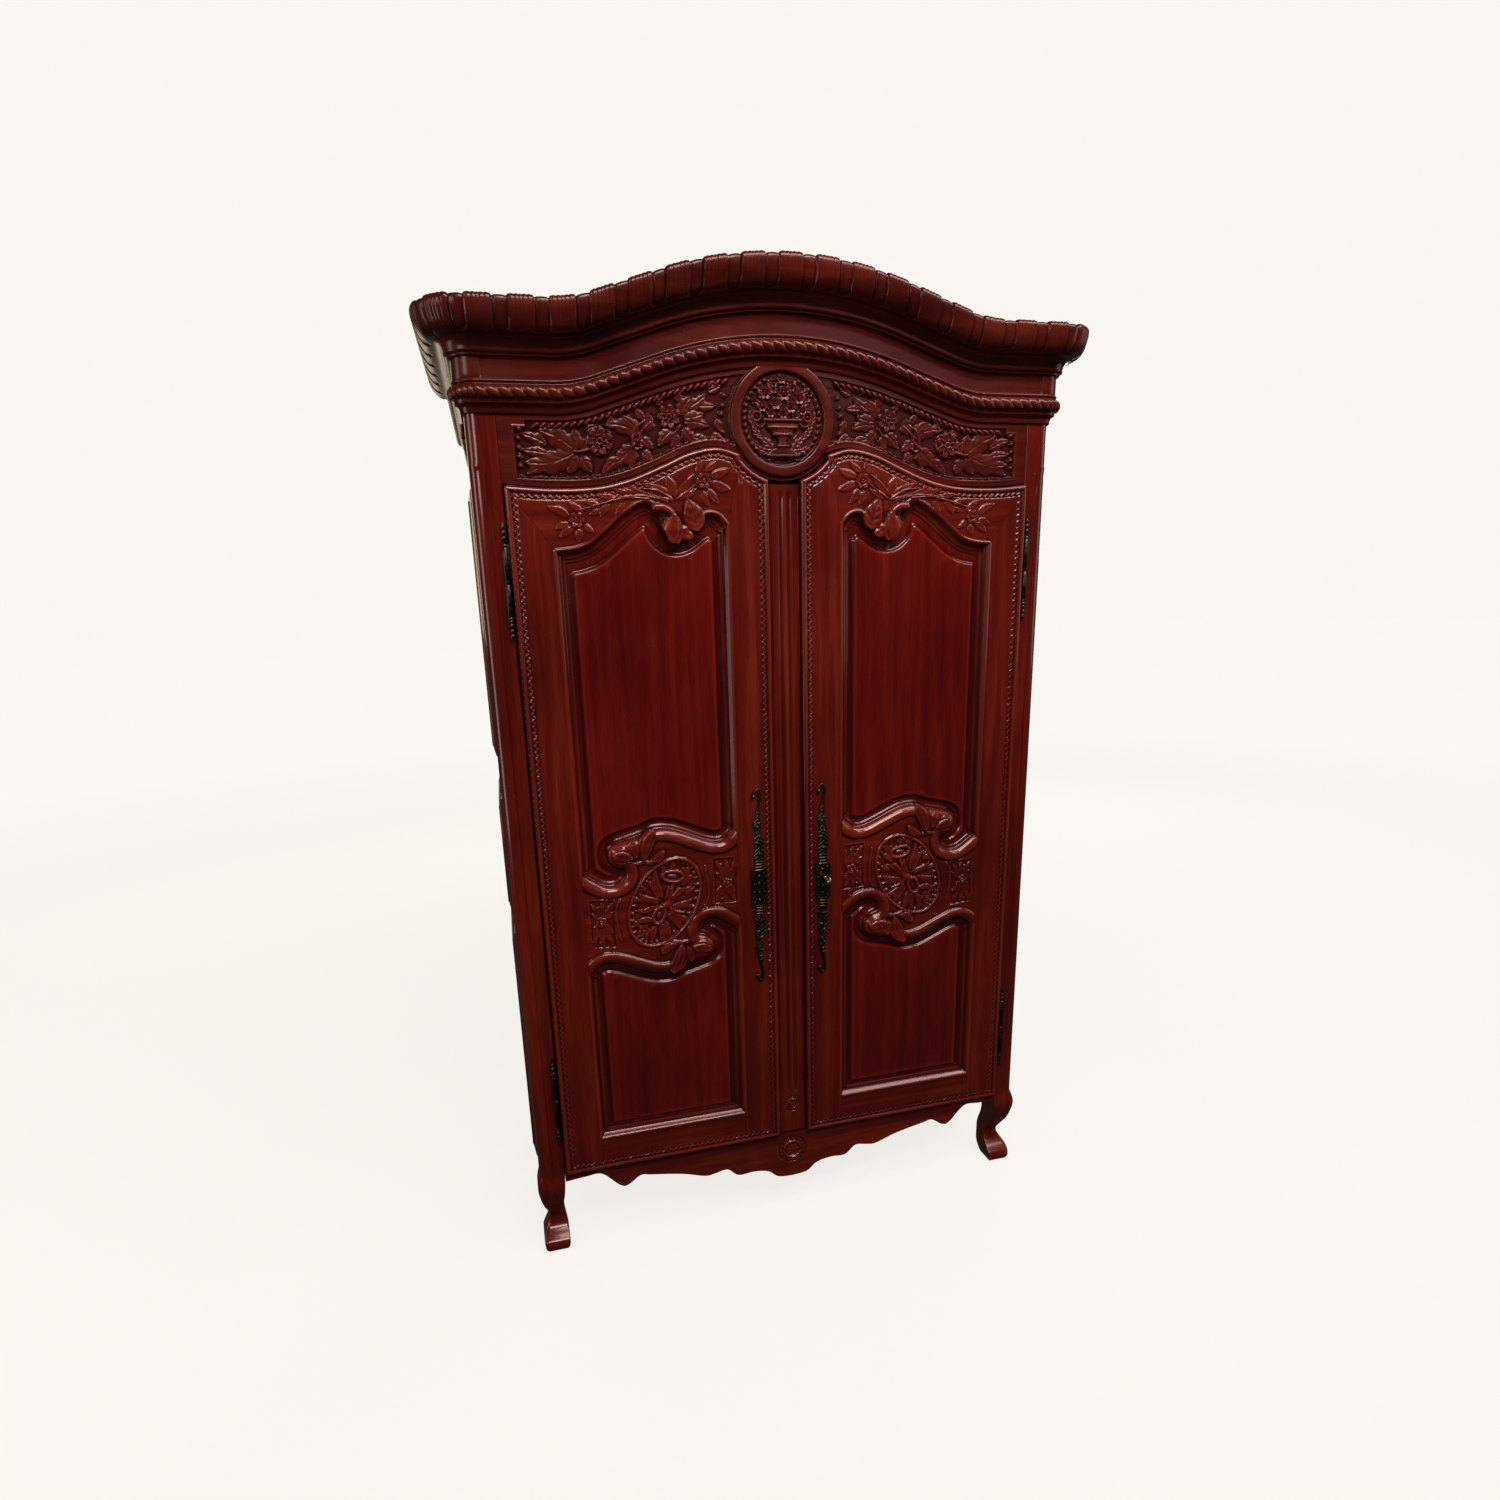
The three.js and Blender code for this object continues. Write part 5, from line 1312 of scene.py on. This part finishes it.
def make_cornice():
    """The front, carried over the arch and round both corners, and the two sides behind it."""
    straight = CASE_HALF - CORNER_R
    quarter = math.pi / 2
    corner_long = quarter * (CORNER_R + 70)
    x = np.linspace(-straight, straight, 821)
    lift = crown_lift(x)
    run = np.concatenate([[0], np.cumsum(np.hypot(np.diff(x), np.diff(lift)))])
    run -= run[-1] / 2
    half_run = run[-1]
    level = [(a, CASE_FRONT, 0, -1, CROWN_SIDE + b, s) for a, b, s in zip(x, lift, run)]

    def corner(side):
        stations = []
        for a in np.linspace(0, quarter, 92)[1:]:
            x, y = straight + CORNER_R * math.sin(a), CASE_FRONT + CORNER_R - CORNER_R * math.cos(a)
            stations.append((side * x, y, side * math.sin(a), -math.cos(a), CROWN_SIDE,
                             side * (half_run + corner_long * a / quarter)))
        return stations

    def corner_block(x):
        return 1.6 * np.clip((abs(x) - FASCIA_BREAK) / 1.6, 0, 1)

    shape = cornice_shape(corner(-1)[::-1] + level + corner(1), corner_block)
    piece("cornice_front_carved", shape, "case", SHADED_CROWN_WOOD["x"], ["cornice_front"])
    start = CASE_FRONT + CORNER_R + GAP
    end_run = half_run + corner_long
    for name, side in SIDES:
        line = [(side * CASE_HALF, y, side, 0, CROWN_SIDE, side * (end_run + y - start))
                for y in np.linspace(start, BACK, 260)]
        shape = cornice_shape(line if side > 0 else line[::-1])
        piece(f"cornice_{name}_carved", shape, "case", SHADED_CROWN_WOOD["y"], [f"cornice_{name}"])


# ---------------------------------------------------------------- posts and feet

GROOVE_TOP = 1862.0                # the quirk beside the posts' rounded corners stops here


def foot_curve(*points):
    """A smooth curve through [height, offset from the post's face] points, sorted by height."""
    curve = spline(points, 60)
    return curve[np.argsort(curve[:, 0])].T


FOOT_TOP = 227
FOOT_OUTER = foot_curve(
    (FOOT_TOP, 0), (194, -7), (159, -3), (134, 3), (109, 10), (86, 14), (69, 12), (52, 3), (39, -3),
    (19, -2), (0, 1))
FOOT_INNER = foot_curve(
    (0, 54), (19, 60), (36, 61), (69, 56), (99, 54), (134, 53), (174, 58), (FOOT_TOP, POST_WIDE))
FOOT_FRONT = foot_curve(
    (FOOT_TOP, 0), (194, -5), (159, 4), (134, 14), (109, 30), (86, 45), (69, 47), (54, 38), (39, 18),
    (29, 7), (15, 3), (0, 16))
FOOT_REAR = foot_curve(
    (0, 66), (19, 72), (44, 84), (74, 91), (94, 90), (134, 76), (184, 62), (FOOT_TOP, POST_DEEP))


def rounded_ring(x0, x1, y0, y1, radii, groove=0.0, groove_at=0.0):
    """A rectangle seen from above, anticlockwise from its right front corner, with rounded corners."""
    corners = ((x1, y0, -90), (x1, y1, 0), (x0, y1, 90), (x0, y0, 180))
    ring = []
    for (x, y, start), radius in zip(corners, radii):
        cx = x - radius if x == x1 else x + radius
        cy = y - radius if y == y1 else y + radius
        for a in np.radians(np.linspace(start, start + 90, 9)):
            ring.append((cx + radius * math.cos(a), cy + radius * math.sin(a)))
    for off, deep in ((-2.2, 0), (-1.5, 0.8), (-0.4, 1), (0.4, 1), (1.2, 0.5), (1.8, 0)):
        ring.append((groove_at + off, y0 + groove * deep))
    return ring


def foot_heights(step):
    """Levels for a post's rings, close together over its foot."""
    return [0, 1.2, 3.0] + list(np.arange(6, 232, step))


def post_sides(z):
    """A post's inner and outer edge at a height, in from the case's side, and the easing of its sole."""
    inner, outer = np.interp(z, *FOOT_INNER, right=POST_WIDE), np.interp(z, *FOOT_OUTER, right=0.0)
    return inner, outer, 0.8 * max(0.0, 1 - z / 3.0)


def front_post_shape():
    """A front post: shaped foot, rounded outer corner with a stopped groove, slim neck."""
    above = [GROOVE_TOP + up for up in (-5, -2, 0, 3, 7, 11, 16)]
    heights = foot_heights(3.0) + [236, 237.5, 240, 243] + list(np.arange(260, 1850, 90)) + above
    rings = []
    for z in heights + [1920, 1970, CASE_TOP - 1.0, CASE_TOP]:
        inner, outer, ease = post_sides(z)
        front = CASE_FRONT + np.interp(z, *FOOT_FRONT, right=0.0)
        rear = CASE_FRONT + np.interp(z, *FOOT_REAR, right=POST_DEEP)
        corner = float(np.interp(
            z, [0, 20, 60, 130, 200, 232, GROOVE_TOP + 2, GROOVE_TOP + 9, GROOVE_TOP + 16, 1925],
            [9, 11, 8, 9, 18, 26, 27.5, 23, 27, 27.9]))
        groove = float(np.interp(z, [236, 243, GROOVE_TOP - 5, GROOVE_TOP], [0, 2.2, 2.2, 0]))
        groove_in = CORNER_R + 3.5 if z > 230 else (inner + outer) / 2
        ring = rounded_ring(CASE_HALF - inner + ease, CASE_HALF - outer - ease, front + ease, rear - ease,
                            (corner, 2.0, 2.5, 3.0), groove, CASE_HALF - groove_in)
        rings.append([(a, b, z) for a, b in ring])
    return loft(rings)


def rear_post_shape():
    """A rear post, square above its shaped foot."""
    front, rear = rear_post_low[1], BACK
    rings = []
    for z in foot_heights(4.0) + [240, 1000, CASE_TOP - 1, CASE_TOP]:
        inner, outer, ease = post_sides(z)
        ring = rounded_ring(CASE_HALF - inner + ease, CASE_HALF - outer - ease, front + ease, rear - ease,
                            (2.0, 2.5, 2.0, 2.0), 0.0, CASE_HALF - (inner + outer) / 2)
        rings.append([(a, b, z) for a, b in ring])
    return loft(rings)


# ---------------------------------------------------------------- apron, sides, centre stile

APRON_EDGE = [
    (FRIEZE_REACH, 205), (545, 209), (505, 208), (462, 166), (440, 163), (408, 183), (380, 179), (300, 163),
    (240, 144), (212, 146), (180, 150), (150, 127), (110, 128), (70, 121), (40, 99), (0, 94)]
APRON_LINE = spline(APRON_EDGE, 150)
ROSETTE = np.array([0.0, 177.0])


def rosette_height(points, centre, radius, rise):
    """A flower with eight petals in a ring, and rays outside it."""
    local = points - centre
    rho, theta = np.hypot(*local.T) / radius, np.arctan2(local[:, 1], local[:, 0])
    petals = np.abs(np.cos(4 * theta)) ** 0.6
    inner = np.where(rho < 0.52, 0.75 * petals * np.sin(math.pi * np.clip(rho / 0.52, 0, 1)) ** 0.7, 0)
    button = dome(rho / 0.16)
    ring = dome((rho - 0.63) / 0.08)
    rays = 0.6 * np.abs(np.cos(8 * theta)) * np.sin(math.pi * (rho - 0.72) / 0.28)
    return rise * np.maximum.reduce([inner, button, ring, np.where((rho > 0.72) & (rho < 1), rays, 0)])


def apron_height(points):
    """The apron's eased lower edge, and a rosette sunk in a ring at its middle."""
    x, z = points.T
    from_edge = nearest(np.column_stack([np.abs(x), z]), APRON_LINE)[0]
    heights = profile(from_edge, [(0, -3.0), (1.0, -1.2), (2.6, -0.2), (4, 0)])
    inside_ring = np.clip((40 - np.hypot(*(points - ROSETTE).T)) / 2, 0, 1)
    return heights - 2.4 * inside_ring + rosette_height(points, ROSETTE, 37, 5.2) * (inside_ring > 0)


def make_apron():
    """The front apron, cut to waves along its lower edge."""
    def edge(x):
        return outline_height(np.abs(x), APRON_LINE)

    def floor(x):
        return np.full_like(x, FLOOR_TOP)

    def inside(points):
        x, z = points.T
        return np.minimum.reduce([FRIEZE_REACH - np.abs(x), z - edge(x), FLOOR_TOP - z])

    outline = np.vstack([APRON_LINE, APRON_LINE[::-1][1:] * (-1, 1),
                         [(-FRIEZE_REACH, FLOOR_TOP), (FRIEZE_REACH, FLOOR_TOP)]])
    low, high = (-FRIEZE_REACH, APRON_LINE[-1][1]), (FRIEZE_REACH, FLOOR_TOP)
    shape = relief(inside, apron_height, low, high, CASE_FRONT, apron_high[1], step=1.9, rows=(edge, floor),
                   outline=outline)
    piece("front_apron_carved", shape, "case", MAHOGANY["x"], ["front_apron"])


SIDE_FRONT, SIDE_REAR = CASE_FRONT + POST_DEEP, rear_post_low[1]
SIDE_THICK = 24.0
SIDE_INNER = CASE_HALF - SIDE_THICK
SIDE_FIELD = 667.0
SIDE_SILL = 246
SIDE_OPENINGS = (("lower", SIDE_SILL, 858), ("middle", 900, 1183), ("upper", 1271, 1840))
SIDE_RAILS = (("lower", 858, 900), ("upper", 1183, 1271), ("top", 1840, CASE_TOP - GAP))
SIDE_WAVE = [
    (SIDE_FRONT, 160), (-110, 166), (-75, 188), (-20, 180), (40, 164), (100, 180), (155, 188), (190, 166),
    (SIDE_REAR, 160)]


def fielded_panel(z0, z1):
    """A side panel whose raised field stands proud of the rails, with a bevelled rim."""
    steps = [
        (-7, 641), (-7, 651), (3.4, 651), (4, 651.6), (4, 658.5), (4.6, 659.6), (6, 660.4), (24, 665.2),
        (25.2, 665.4), (25.8, 666.4), (27.4, 667)]
    rings = []
    for inset, x in steps:
        y0, y1 = SIDE_FRONT + inset, SIDE_REAR - inset
        rings.append([(x, y0, z0 + inset), (x, y1, z0 + inset), (x, y1, z1 - inset), (x, y0, z1 - inset)])
    return loft(rings)


def side_bottom_rail():
    """The rail under the side panels, waved along its lower edge."""
    wave = spline(SIDE_WAVE, 80)
    rings = []
    for x, ease in ((SIDE_INNER, 1.2), (SIDE_INNER + 1.2, 0), (CASE_HALF - 1.6, 0), (CASE_HALF - 0.5, 0.5),
                    (CASE_HALF, 1.6)):
        lower = [(x, np.clip(y, SIDE_FRONT + GAP, SIDE_REAR - GAP), z + ease) for y, z in wave]
        top = SIDE_SILL - ease
        rings.append(lower + [(x, SIDE_REAR - GAP, top), (x, SIDE_FRONT + GAP, top)])
    return loft(rings)


def make_case():
    """The four posts, and the rails and panels of both sides."""
    front, rear, wave = front_post_shape(), rear_post_shape(), side_bottom_rail()
    for name, side in SIDES:
        def add(node, made, shape, material, sharp=SHARP):
            piece(f"{node}_{made}", sided(shape, side), "case", material, [node], sharp)

        add(f"front_{name}_post", "shaped", front, MAHOGANY["z"], 55)
        add(f"rear_{name}_post", "shaped", rear, MAHOGANY["z"], 55)
        add(f"{name}_bottom_rail", "shaped", wave, MAHOGANY["y"])
        for level, z0, z1 in SIDE_RAILS:
            shape = soft_box((SIDE_INNER, SIDE_FRONT + GAP, z0), (CASE_HALF, SIDE_REAR - GAP, z1), 1.4)
            if level == "top":
                shape.join(soft_box((CASE_HALF - 3, SIDE_FRONT + 12, 1933),
                                    (SIDE_FIELD, SIDE_REAR - 12, 1962), 2.5))
            add(f"{name}_{level}_rail", "shaped", shape, MAHOGANY["y"])
        for level, z0, z1 in SIDE_OPENINGS:
            add(f"{name}_{level}_panel", "fielded", fielded_panel(z0, z1), PANEL_WOOD, 25)


CENTRE_HALF = 34
CENTRE_SECTION = [
    (0, 0.6), (1.6, 0.6), (3.2, 0), (4.2, -0.4), (5.4, -1.8), (9.5, -2.8), (13.6, -1.8), (14.8, -0.4),
    (16, 0), (28, 0), (29, -0.6), (30, -1.8), (31.5, -1.8), (32.5, -0.6), (33.4, -0.8), (CENTRE_HALF, -2)]
CENTRE_ROSETTE = 318.0


def centre_height(points):
    """Two stopped flutes with a bead between them, and a small rosette at the foot."""
    x, z = points.T
    u = np.abs(x)
    heights = profile(u, CENTRE_SECTION)
    ends = np.clip(np.minimum(z - 352, 1822 - z) / 14, 0, 1)
    plain = profile(u, [(0, 0), (33, 0), (CENTRE_HALF, -1.5)])
    heights = plain + (heights - plain) * np.sqrt(ends)
    near_foot = np.hypot(x, z - CENTRE_ROSETTE) < 22
    rosette = rosette_height(points, (0.0, CENTRE_ROSETTE), 21, 4.2)
    return np.where(near_foot, heights - 1.5 + rosette, heights)


def make_centre_stile():
    """The fluted centre stile, with the lip behind it that laps the left door."""
    low, high = np.array([-CENTRE_HALF, centre_low[2]]), np.array([CENTRE_HALF, centre_high[2]])

    def inside(points):
        x, z = points.T
        return np.minimum.reduce([CENTRE_HALF - np.abs(x), z - low[1], high[1] - z])

    outline = polygon(low, (high[0], low[1]), high, (low[0], high[1]))
    shape = relief(inside, centre_height, low, high, centre_low[1], DOOR_BACK, step=1.5, outline=outline)
    shape.join(soft_box((-60, DOOR_BACK + GAP, 250), (-24, centre_high[1], 1800), 1.2))
    piece("centre_stile_fluted", shape, "left_door", MAHOGANY["z"], ["centre_stile"])


# ---------------------------------------------------------------- fittings

HINGE_X, HINGE_Y = 602.0, -222.0
HINGE_LEVELS = (("upper", 1645.0), ("lower", 439.0))
KNUCKLE = 76.0
FINIAL = [
    (4.6, 0.0), (5.4, 1.2), (5.4, 2.6), (3.6, 4.0), (2.3, 5.2), (3.4, 6.6), (4.7, 8.8), (5.0, 11.0),
    (4.6, 13.4), (3.2, 15.6), (2.2, 16.8), (3.2, 18.2), (4.2, 20.4), (4.3, 22.4), (3.6, 24.6),
    (2.2, 26.2), (1.9, 27.0), (2.8, 28.6), (3.6, 31.0), (3.6, 33.4), (2.9, 36.6), (1.9, 39.2),
    (1.3, 41.0), (1.5, 42.2), (0.9, 43.6), (0.0, 44.0)]

HINGE_BARREL = [
    (0, 0.2), (5.2, 0.2), (5.9, 0.8), (5.9, 3.0), (5.1, 3.8), (5.1, 4.8), (5.7, 5.6), (5.7, KNUCKLE - 8),
    (5.1, KNUCKLE - 7.2), (5.1, KNUCKLE - 6.2), (5.9, KNUCKLE - 5.2), (5.9, KNUCKLE - 2.6),
    (5.0, KNUCKLE - 1.2)]


def hinge_half(z, upward, side):
    """Barrel with turned rings and a beaded finial, and the leaf let into the wood."""
    way = 1 if upward else -1
    rows = [(r, z + way * h) for r, h in HINGE_BARREL + [(r, KNUCKLE + h) for r, h in FINIAL]]
    shape = turned(rows if upward else rows[::-1], (HINGE_X, HINGE_Y, 0), 24)
    if upward:
        leaf = (HINGE_X - 37, HINGE_Y - 1.2, z + 6), (HINGE_X - 4, HINGE_Y + 1.2, z + KNUCKLE)
    else:
        leaf = (HINGE_X - 1.2, HINGE_Y + 3, z - KNUCKLE), (HINGE_X + 1.2, CASE_FRONT + 30, z - 6)
    return sided(shape.join(soft_box(*leaf, 0.5)), side)


ESCUTCHEON_Z = 926.0
LOCK_X = 81.0
KEY_Z = 939.0

ESCUTCHEON_WIDTHS = [
    (0, 19.0), (43, 19.4), (44, 11.0), (48, 11.5), (51, 9.8), (55, 11.2), (58, 9.8), (62, 11.2),
    (66, 9.2), (72, 11.5), (80, 13.2), (90, 12.4), (97, 10.5), (104, 12.5), (114, 13.6), (124, 11.5),
    (132, 8.0), (140, 7.0), (148, 9.2), (158, 9.8), (166, 7.0), (174, 5.0), (182, 6.4), (190, 5.6),
    (197, 3.0), (201, 0.2), (246, 0.2)]
HOOK = spline([(0.5, 188), (2.5, 200), (4.5, 216), (5.0, 230), (0.5, 240), (-6.5, 236), (-9.5, 225)], 36)
CAST_BEADS = [                     # place across and along from the middle, radius, rise
    (0, 12, 1.9, 1.6), (0, 30, 2.2, 1.8), (-12, 36, 1.6, 1.2), (12, 36, 1.6, 1.2), (-12, 10, 1.4, 1.0),
    (12, 10, 1.4, 1.0), (2, 84, 4.6, 3.4), (-3, 112, 4.2, 3.2), (3, 127, 3.0, 2.8), (-2, 151, 3.6, 3.0),
    (3, 160, 3.0, 2.8), (0, 176, 2.8, 2.6), (1, 186, 2.4, 2.4), (*HOOK[-1], 4.6, 4.2)]


def escutcheon_shape(with_keyhole, lean):
    """A cast plate, the same above and below, whose ends sway and curl into hooks. lean flips the hooks."""
    centre = np.array([LOCK_X, ESCUTCHEON_Z])

    def sway(w):
        return 2.4 * np.sin((w - 70) / 60 * math.pi) * np.clip((w - 70) / 30, 0, 1)

    def folded(points):
        u, v = (points - centre).T
        return np.column_stack([lean * u, np.abs(v)])

    def inside(points):
        local = folded(points)
        room = (profile(local[:, 1], ESCUTCHEON_WIDTHS) - np.abs(local[:, 0] - sway(local[:, 1]))) * 0.8
        hook, along = nearest(local, HOOK)
        room = np.maximum(room, 3.4 - 0.008 * along - hook)
        room = np.maximum(room, 4.8 - np.hypot(*(local - HOOK[-1]).T))
        if with_keyhole:
            u, v = (points - centre).T
            slot = np.maximum(np.abs(u) - 2.2, np.abs(v - 6) - 9)
            room = np.minimum(room, np.minimum(np.hypot(u, v - (KEY_Z - ESCUTCHEON_Z)) - 4.6, slot))
        return room

    def height(points):
        local = folded(points)
        w = local[:, 1]
        across = np.abs(local[:, 0] - sway(w)) / np.maximum(profile(w, ESCUTCHEON_WIDTHS), 0.5)
        round_off = dome(across)
        plate = 2.6 + 0.8 * (across > 0.84) + 0.5 * (np.abs(w - 41) < 2.2)
        neck = 2.0 + 2.6 * round_off + 0.9 * np.cos(2 * math.pi * (w - 44) / 7.2)
        leaves = 1.6 + 2.6 * round_off + 0.8 * np.cos(2 * math.pi * (w / 10.0 + 1.1 * across))
        heights = np.where(w < 43.5, plate, np.where(w < 67, neck, leaves))
        hook, _ = nearest(local, HOOK)
        tube = 1.4 + 3.0 * dome(hook / 3.4)
        heights = np.where((w > 192) | (hook < 2.0) & (w > 186), tube, heights)
        carving = Carving(points, heights)
        for up in (1, -1):
            for across, along, radius, rise in CAST_BEADS:
                carving.bead(centre + (lean * across, up * along), radius, 3.0, rise)
        return carving.heights

    low, high = centre - (21.0, 247.0), centre + (21.0, 247.0)
    return relief(inside, height, low, high, DOOR_FACE + 0.4, DOOR_FACE + 2.4, step=0.85)


KEY_ROWS = [
    (0, -267.4), (2.6, -267.2), (3.6, -266), (3.6, -264.6), (2.5, -263.4), (2.5, -260), (4.4, -259),
    (4.8, -257.6), (4.4, -256.2), (2.7, -255), (2.7, -252.4), (3.8, -251.6), (3.8, -250.2), (2.9, -249),
    (2.9, -190.6), (2.2, -190), (0, -190)]


def key_shape():
    """The key in the right-hand lock: ring bow, collared shank and bit."""
    shape = turned(KEY_ROWS[::-1], (LOCK_X, 0, KEY_Z), 20, axis="y")
    rings = []
    for a in np.linspace(0, 2 * math.pi, 41):
        out = np.array([0, math.cos(a), math.sin(a)])
        centre = np.array([LOCK_X, -275, KEY_Z]) + 9 * out
        tube = 1.7 + 0.5 * abs(math.cos(a))
        rings.append([centre + tube * (math.cos(b) * out + math.sin(b) * np.array([1, 0, 0]))
                      for b in np.linspace(0, 2 * math.pi, 13)[:-1]])
    shape.join(loft(rings, caps=False))
    return shape.join(soft_box((LOCK_X - 1.5, -197, KEY_Z - 10), (LOCK_X + 1.5, -188, KEY_Z - 1), 0.4))


def make_fittings():
    """Hinges, escutcheons and the key."""
    for name, side in SIDES:
        for level, z in HINGE_LEVELS:
            for half, upward, body in (("frame", False, "case"), ("door", True, f"{name}_door")):
                node, shape = f"{name}_{level}_hinge_{half}", hinge_half(z, upward, side)
                piece(f"{node}_turned", shape, body, BRONZE, [f"{node}_half"])
        plate = sided(escutcheon_shape(side > 0, side), side)
        piece(f"{name}_escutcheon_cast", plate, f"{name}_door", BRONZE, [f"{name}_escutcheon"])
    piece("key_turned", key_shape(), "key", BRASS, ["key"])


def eased_copy(name, material, width=1.2):
    """A copy of a CAD node with its edges eased, which stands for it."""
    node = frame["nodes"][name]
    body = next(b for b, members in frame["record"]["behaviour"]["bodies"].items() if name in members)
    made = bpy.data.objects.new(f"{name}_eased", node.data.copy())
    bpy.context.scene.collection.objects.link(made)
    mesh = bmesh.new()
    mesh.from_mesh(made.data)
    bmesh.ops.remove_doubles(mesh, verts=mesh.verts, dist=1e-6)
    bmesh.ops.dissolve_limit(mesh, angle_limit=math.radians(1), verts=mesh.verts, edges=mesh.edges)
    edges = [e for e in mesh.edges if e.is_manifold and e.calc_face_angle() > math.radians(40)]
    bmesh.ops.bevel(mesh, geom=edges, offset=width * MM, segments=2, profile=0.6, affect="EDGES",
                    clamp_overlap=True)
    for face in mesh.faces:
        face.smooth = True
    mesh.to_mesh(made.data)
    mesh.free()
    made.data.set_sharp_from_angle(angle=math.radians(SHARP))
    made.data.materials.clear()
    made.data.materials.append(material)
    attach(made, body)
    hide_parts(name)


def make_inside():
    """The pieces that only need eased edges."""
    for name, material in (("lock_case", STEEL), ("lock_bolt", BRASS), ("left_door_bolt", STEEL),
                           ("hanging_rod", STEEL)):
        eased_copy(name, material, 0.6)
    for name in ("bottom_board", "back_bottom_rail", "top_board", "hat_shelf", "left_shelf_cleat",
                 "right_shelf_cleat"):
        eased_copy(name, INNER_WOOD["x"])
    eased_copy("back_panel", INNER_WOOD["z"])


# ---------------------------------------------------------------- stage

def add_camera():
    """The photograph's view: standing eye height, a little left of the middle, looking down."""
    data = bpy.data.cameras.new("camera")
    data.lens, data.sensor_width = 20.517, 36.0
    data.shift_x, data.shift_y = 0.01683, 0.05088
    yaw, pitch, roll = (math.radians(a) for a in (14.053, 14.516, 1.942))
    ahead = Vector((math.sin(yaw) * math.cos(pitch), math.cos(yaw) * math.cos(pitch), -math.sin(pitch)))
    level = Vector((math.cos(yaw), -math.sin(yaw), 0))
    down = ahead.cross(level)
    right = math.cos(roll) * level + math.sin(roll) * down
    below = math.cos(roll) * down - math.sin(roll) * level
    turn = Matrix((right, -below, -ahead)).transposed()
    place = (-0.6307, -2.1070, 1.5866)
    camera = bpy.data.objects.new("camera", data)
    camera.matrix_world = Matrix.Translation(place) @ turn.to_4x4()
    bpy.context.scene.collection.objects.link(camera)
    bpy.context.scene.camera = camera


def add_light(name, place, target, size, energy, colour):
    """An area light at a place, aimed at a target."""
    data = bpy.data.lights.new(name, "AREA")
    data.shape = "RECTANGLE"
    data.size, data.size_y = size
    data.energy, data.color = energy, colour
    light = bpy.data.objects.new(name, data)
    light.location = place
    light.rotation_euler = (Vector(target) - Vector(place)).to_track_quat("-Z", "Y").to_euler()
    bpy.context.scene.collection.objects.link(light)


SURROUND = (0.955, 0.925, 0.885)


def pale_floor_material():
    """A pale floor that glows a little more with distance, so that it meets the surround without a line."""
    made = Finish("pale_floor")
    radius = made.nodes.new("ShaderNodeVectorMath")
    radius.operation = "LENGTH"
    made.links.new(made.place, radius.inputs[0])
    made.fill(made.shader, dict(
        Base_Color=(0.16, 0.155, 0.15), Roughness=0.9, Specular_IOR_Level=0.0, Emission_Color=SURROUND,
        Emission_Strength=made.span(radius.outputs["Value"], 1.5, 9.0, 0.885, 1.0)))
    return made.material


def add_floor():
    """A plain pale floor, seen by the camera but not mirrored in the lacquer."""
    mesh = bpy.data.meshes.new("floor")
    reach = 40.0
    mesh.from_pydata([(-reach, -reach, 0), (reach, -reach, 0), (reach, reach, 0), (-reach, reach, 0)], [],
                     [(0, 1, 2, 3)])
    mesh.materials.append(pale_floor_material())
    floor = bpy.data.objects.new("floor", mesh)
    bpy.context.scene.collection.objects.link(floor)
    floor.visible_glossy = False
    floor.visible_diffuse = False


def add_surround():
    """A pale surround that the camera sees, and a faint even light from it."""
    world = bpy.data.worlds.new("surround")
    bpy.context.scene.world = world
    world.use_nodes = True
    nodes, links = world.node_tree.nodes, world.node_tree.links
    seen = nodes["Background"]
    seen.inputs["Color"].default_value = (*SURROUND, 1)
    lit = nodes.new("ShaderNodeBackground")
    lit.inputs["Color"].default_value = (1.0, 0.95, 0.92, 1)
    lit.inputs["Strength"].default_value = 0.035
    path = nodes.new("ShaderNodeLightPath")
    choose = nodes.new("ShaderNodeMixShader")
    links.new(path.outputs["Is Camera Ray"], choose.inputs["Fac"])
    links.new(lit.outputs[0], choose.inputs[1])
    links.new(seen.outputs[0], choose.inputs[2])
    links.new(choose.outputs[0], nodes["World Output"].inputs["Surface"])


def add_lights():
    """Lights for the photograph's view, and two behind for the back of the case."""
    warm, plain, rose, tan = (1.0, 0.90, 0.83), (1.0, 0.95, 0.92), (1.0, 0.84, 0.86), (1.0, 0.86, 0.60)
    add_light("key", (0.1, -4.0, 5.2), (0, -0.2, 1.2), (2.4, 0.9), 106, warm)
    add_light("side_key", (-3.4, -3.2, 3.0), (0, -0.2, 1.3), (1.2, 1.6), 34, warm)
    add_light("overhead", (1.05, -1.4, 3.5), (0.8, -0.2, 1.6), (3.3, 0.5), 46, rose)
    add_light("key_right", (2.6, -3.6, 5.2), (0.3, -0.2, 1.0), (1.4, 0.6), 20, rose)
    add_light("left_fill", (-3.6, -0.35, 1.6), (0, -0.1, 1.2), (0.9, 2.6), 20, plain)
    add_light("right_fill", (4.2, -0.9, 2.2), (0, 0, 1.1), (1.6, 2.2), 10, plain)
    add_light("window", (2.0, -4.2, 3.15), (0, 0, 1.9), (1.2, 0.6), 2.5, rose)
    add_light("back_left", (-1.6, 4.0, 2.6), (0, 0.2, 1.2), (2.6, 2.6), 24, tan)
    add_light("back_right", (3.4, 4.2, 3.0), (0, 0.2, 1.2), (2.4, 2.4), 60, plain)
    bpy.context.scene.view_settings.view_transform = "Standard"


add_camera()
add_floor()
add_surround()
add_lights()
make_doors()
make_centre_stile()
make_frieze()
make_medallion()
make_cornice()
make_case()
make_apron()
make_fittings()
make_inside()
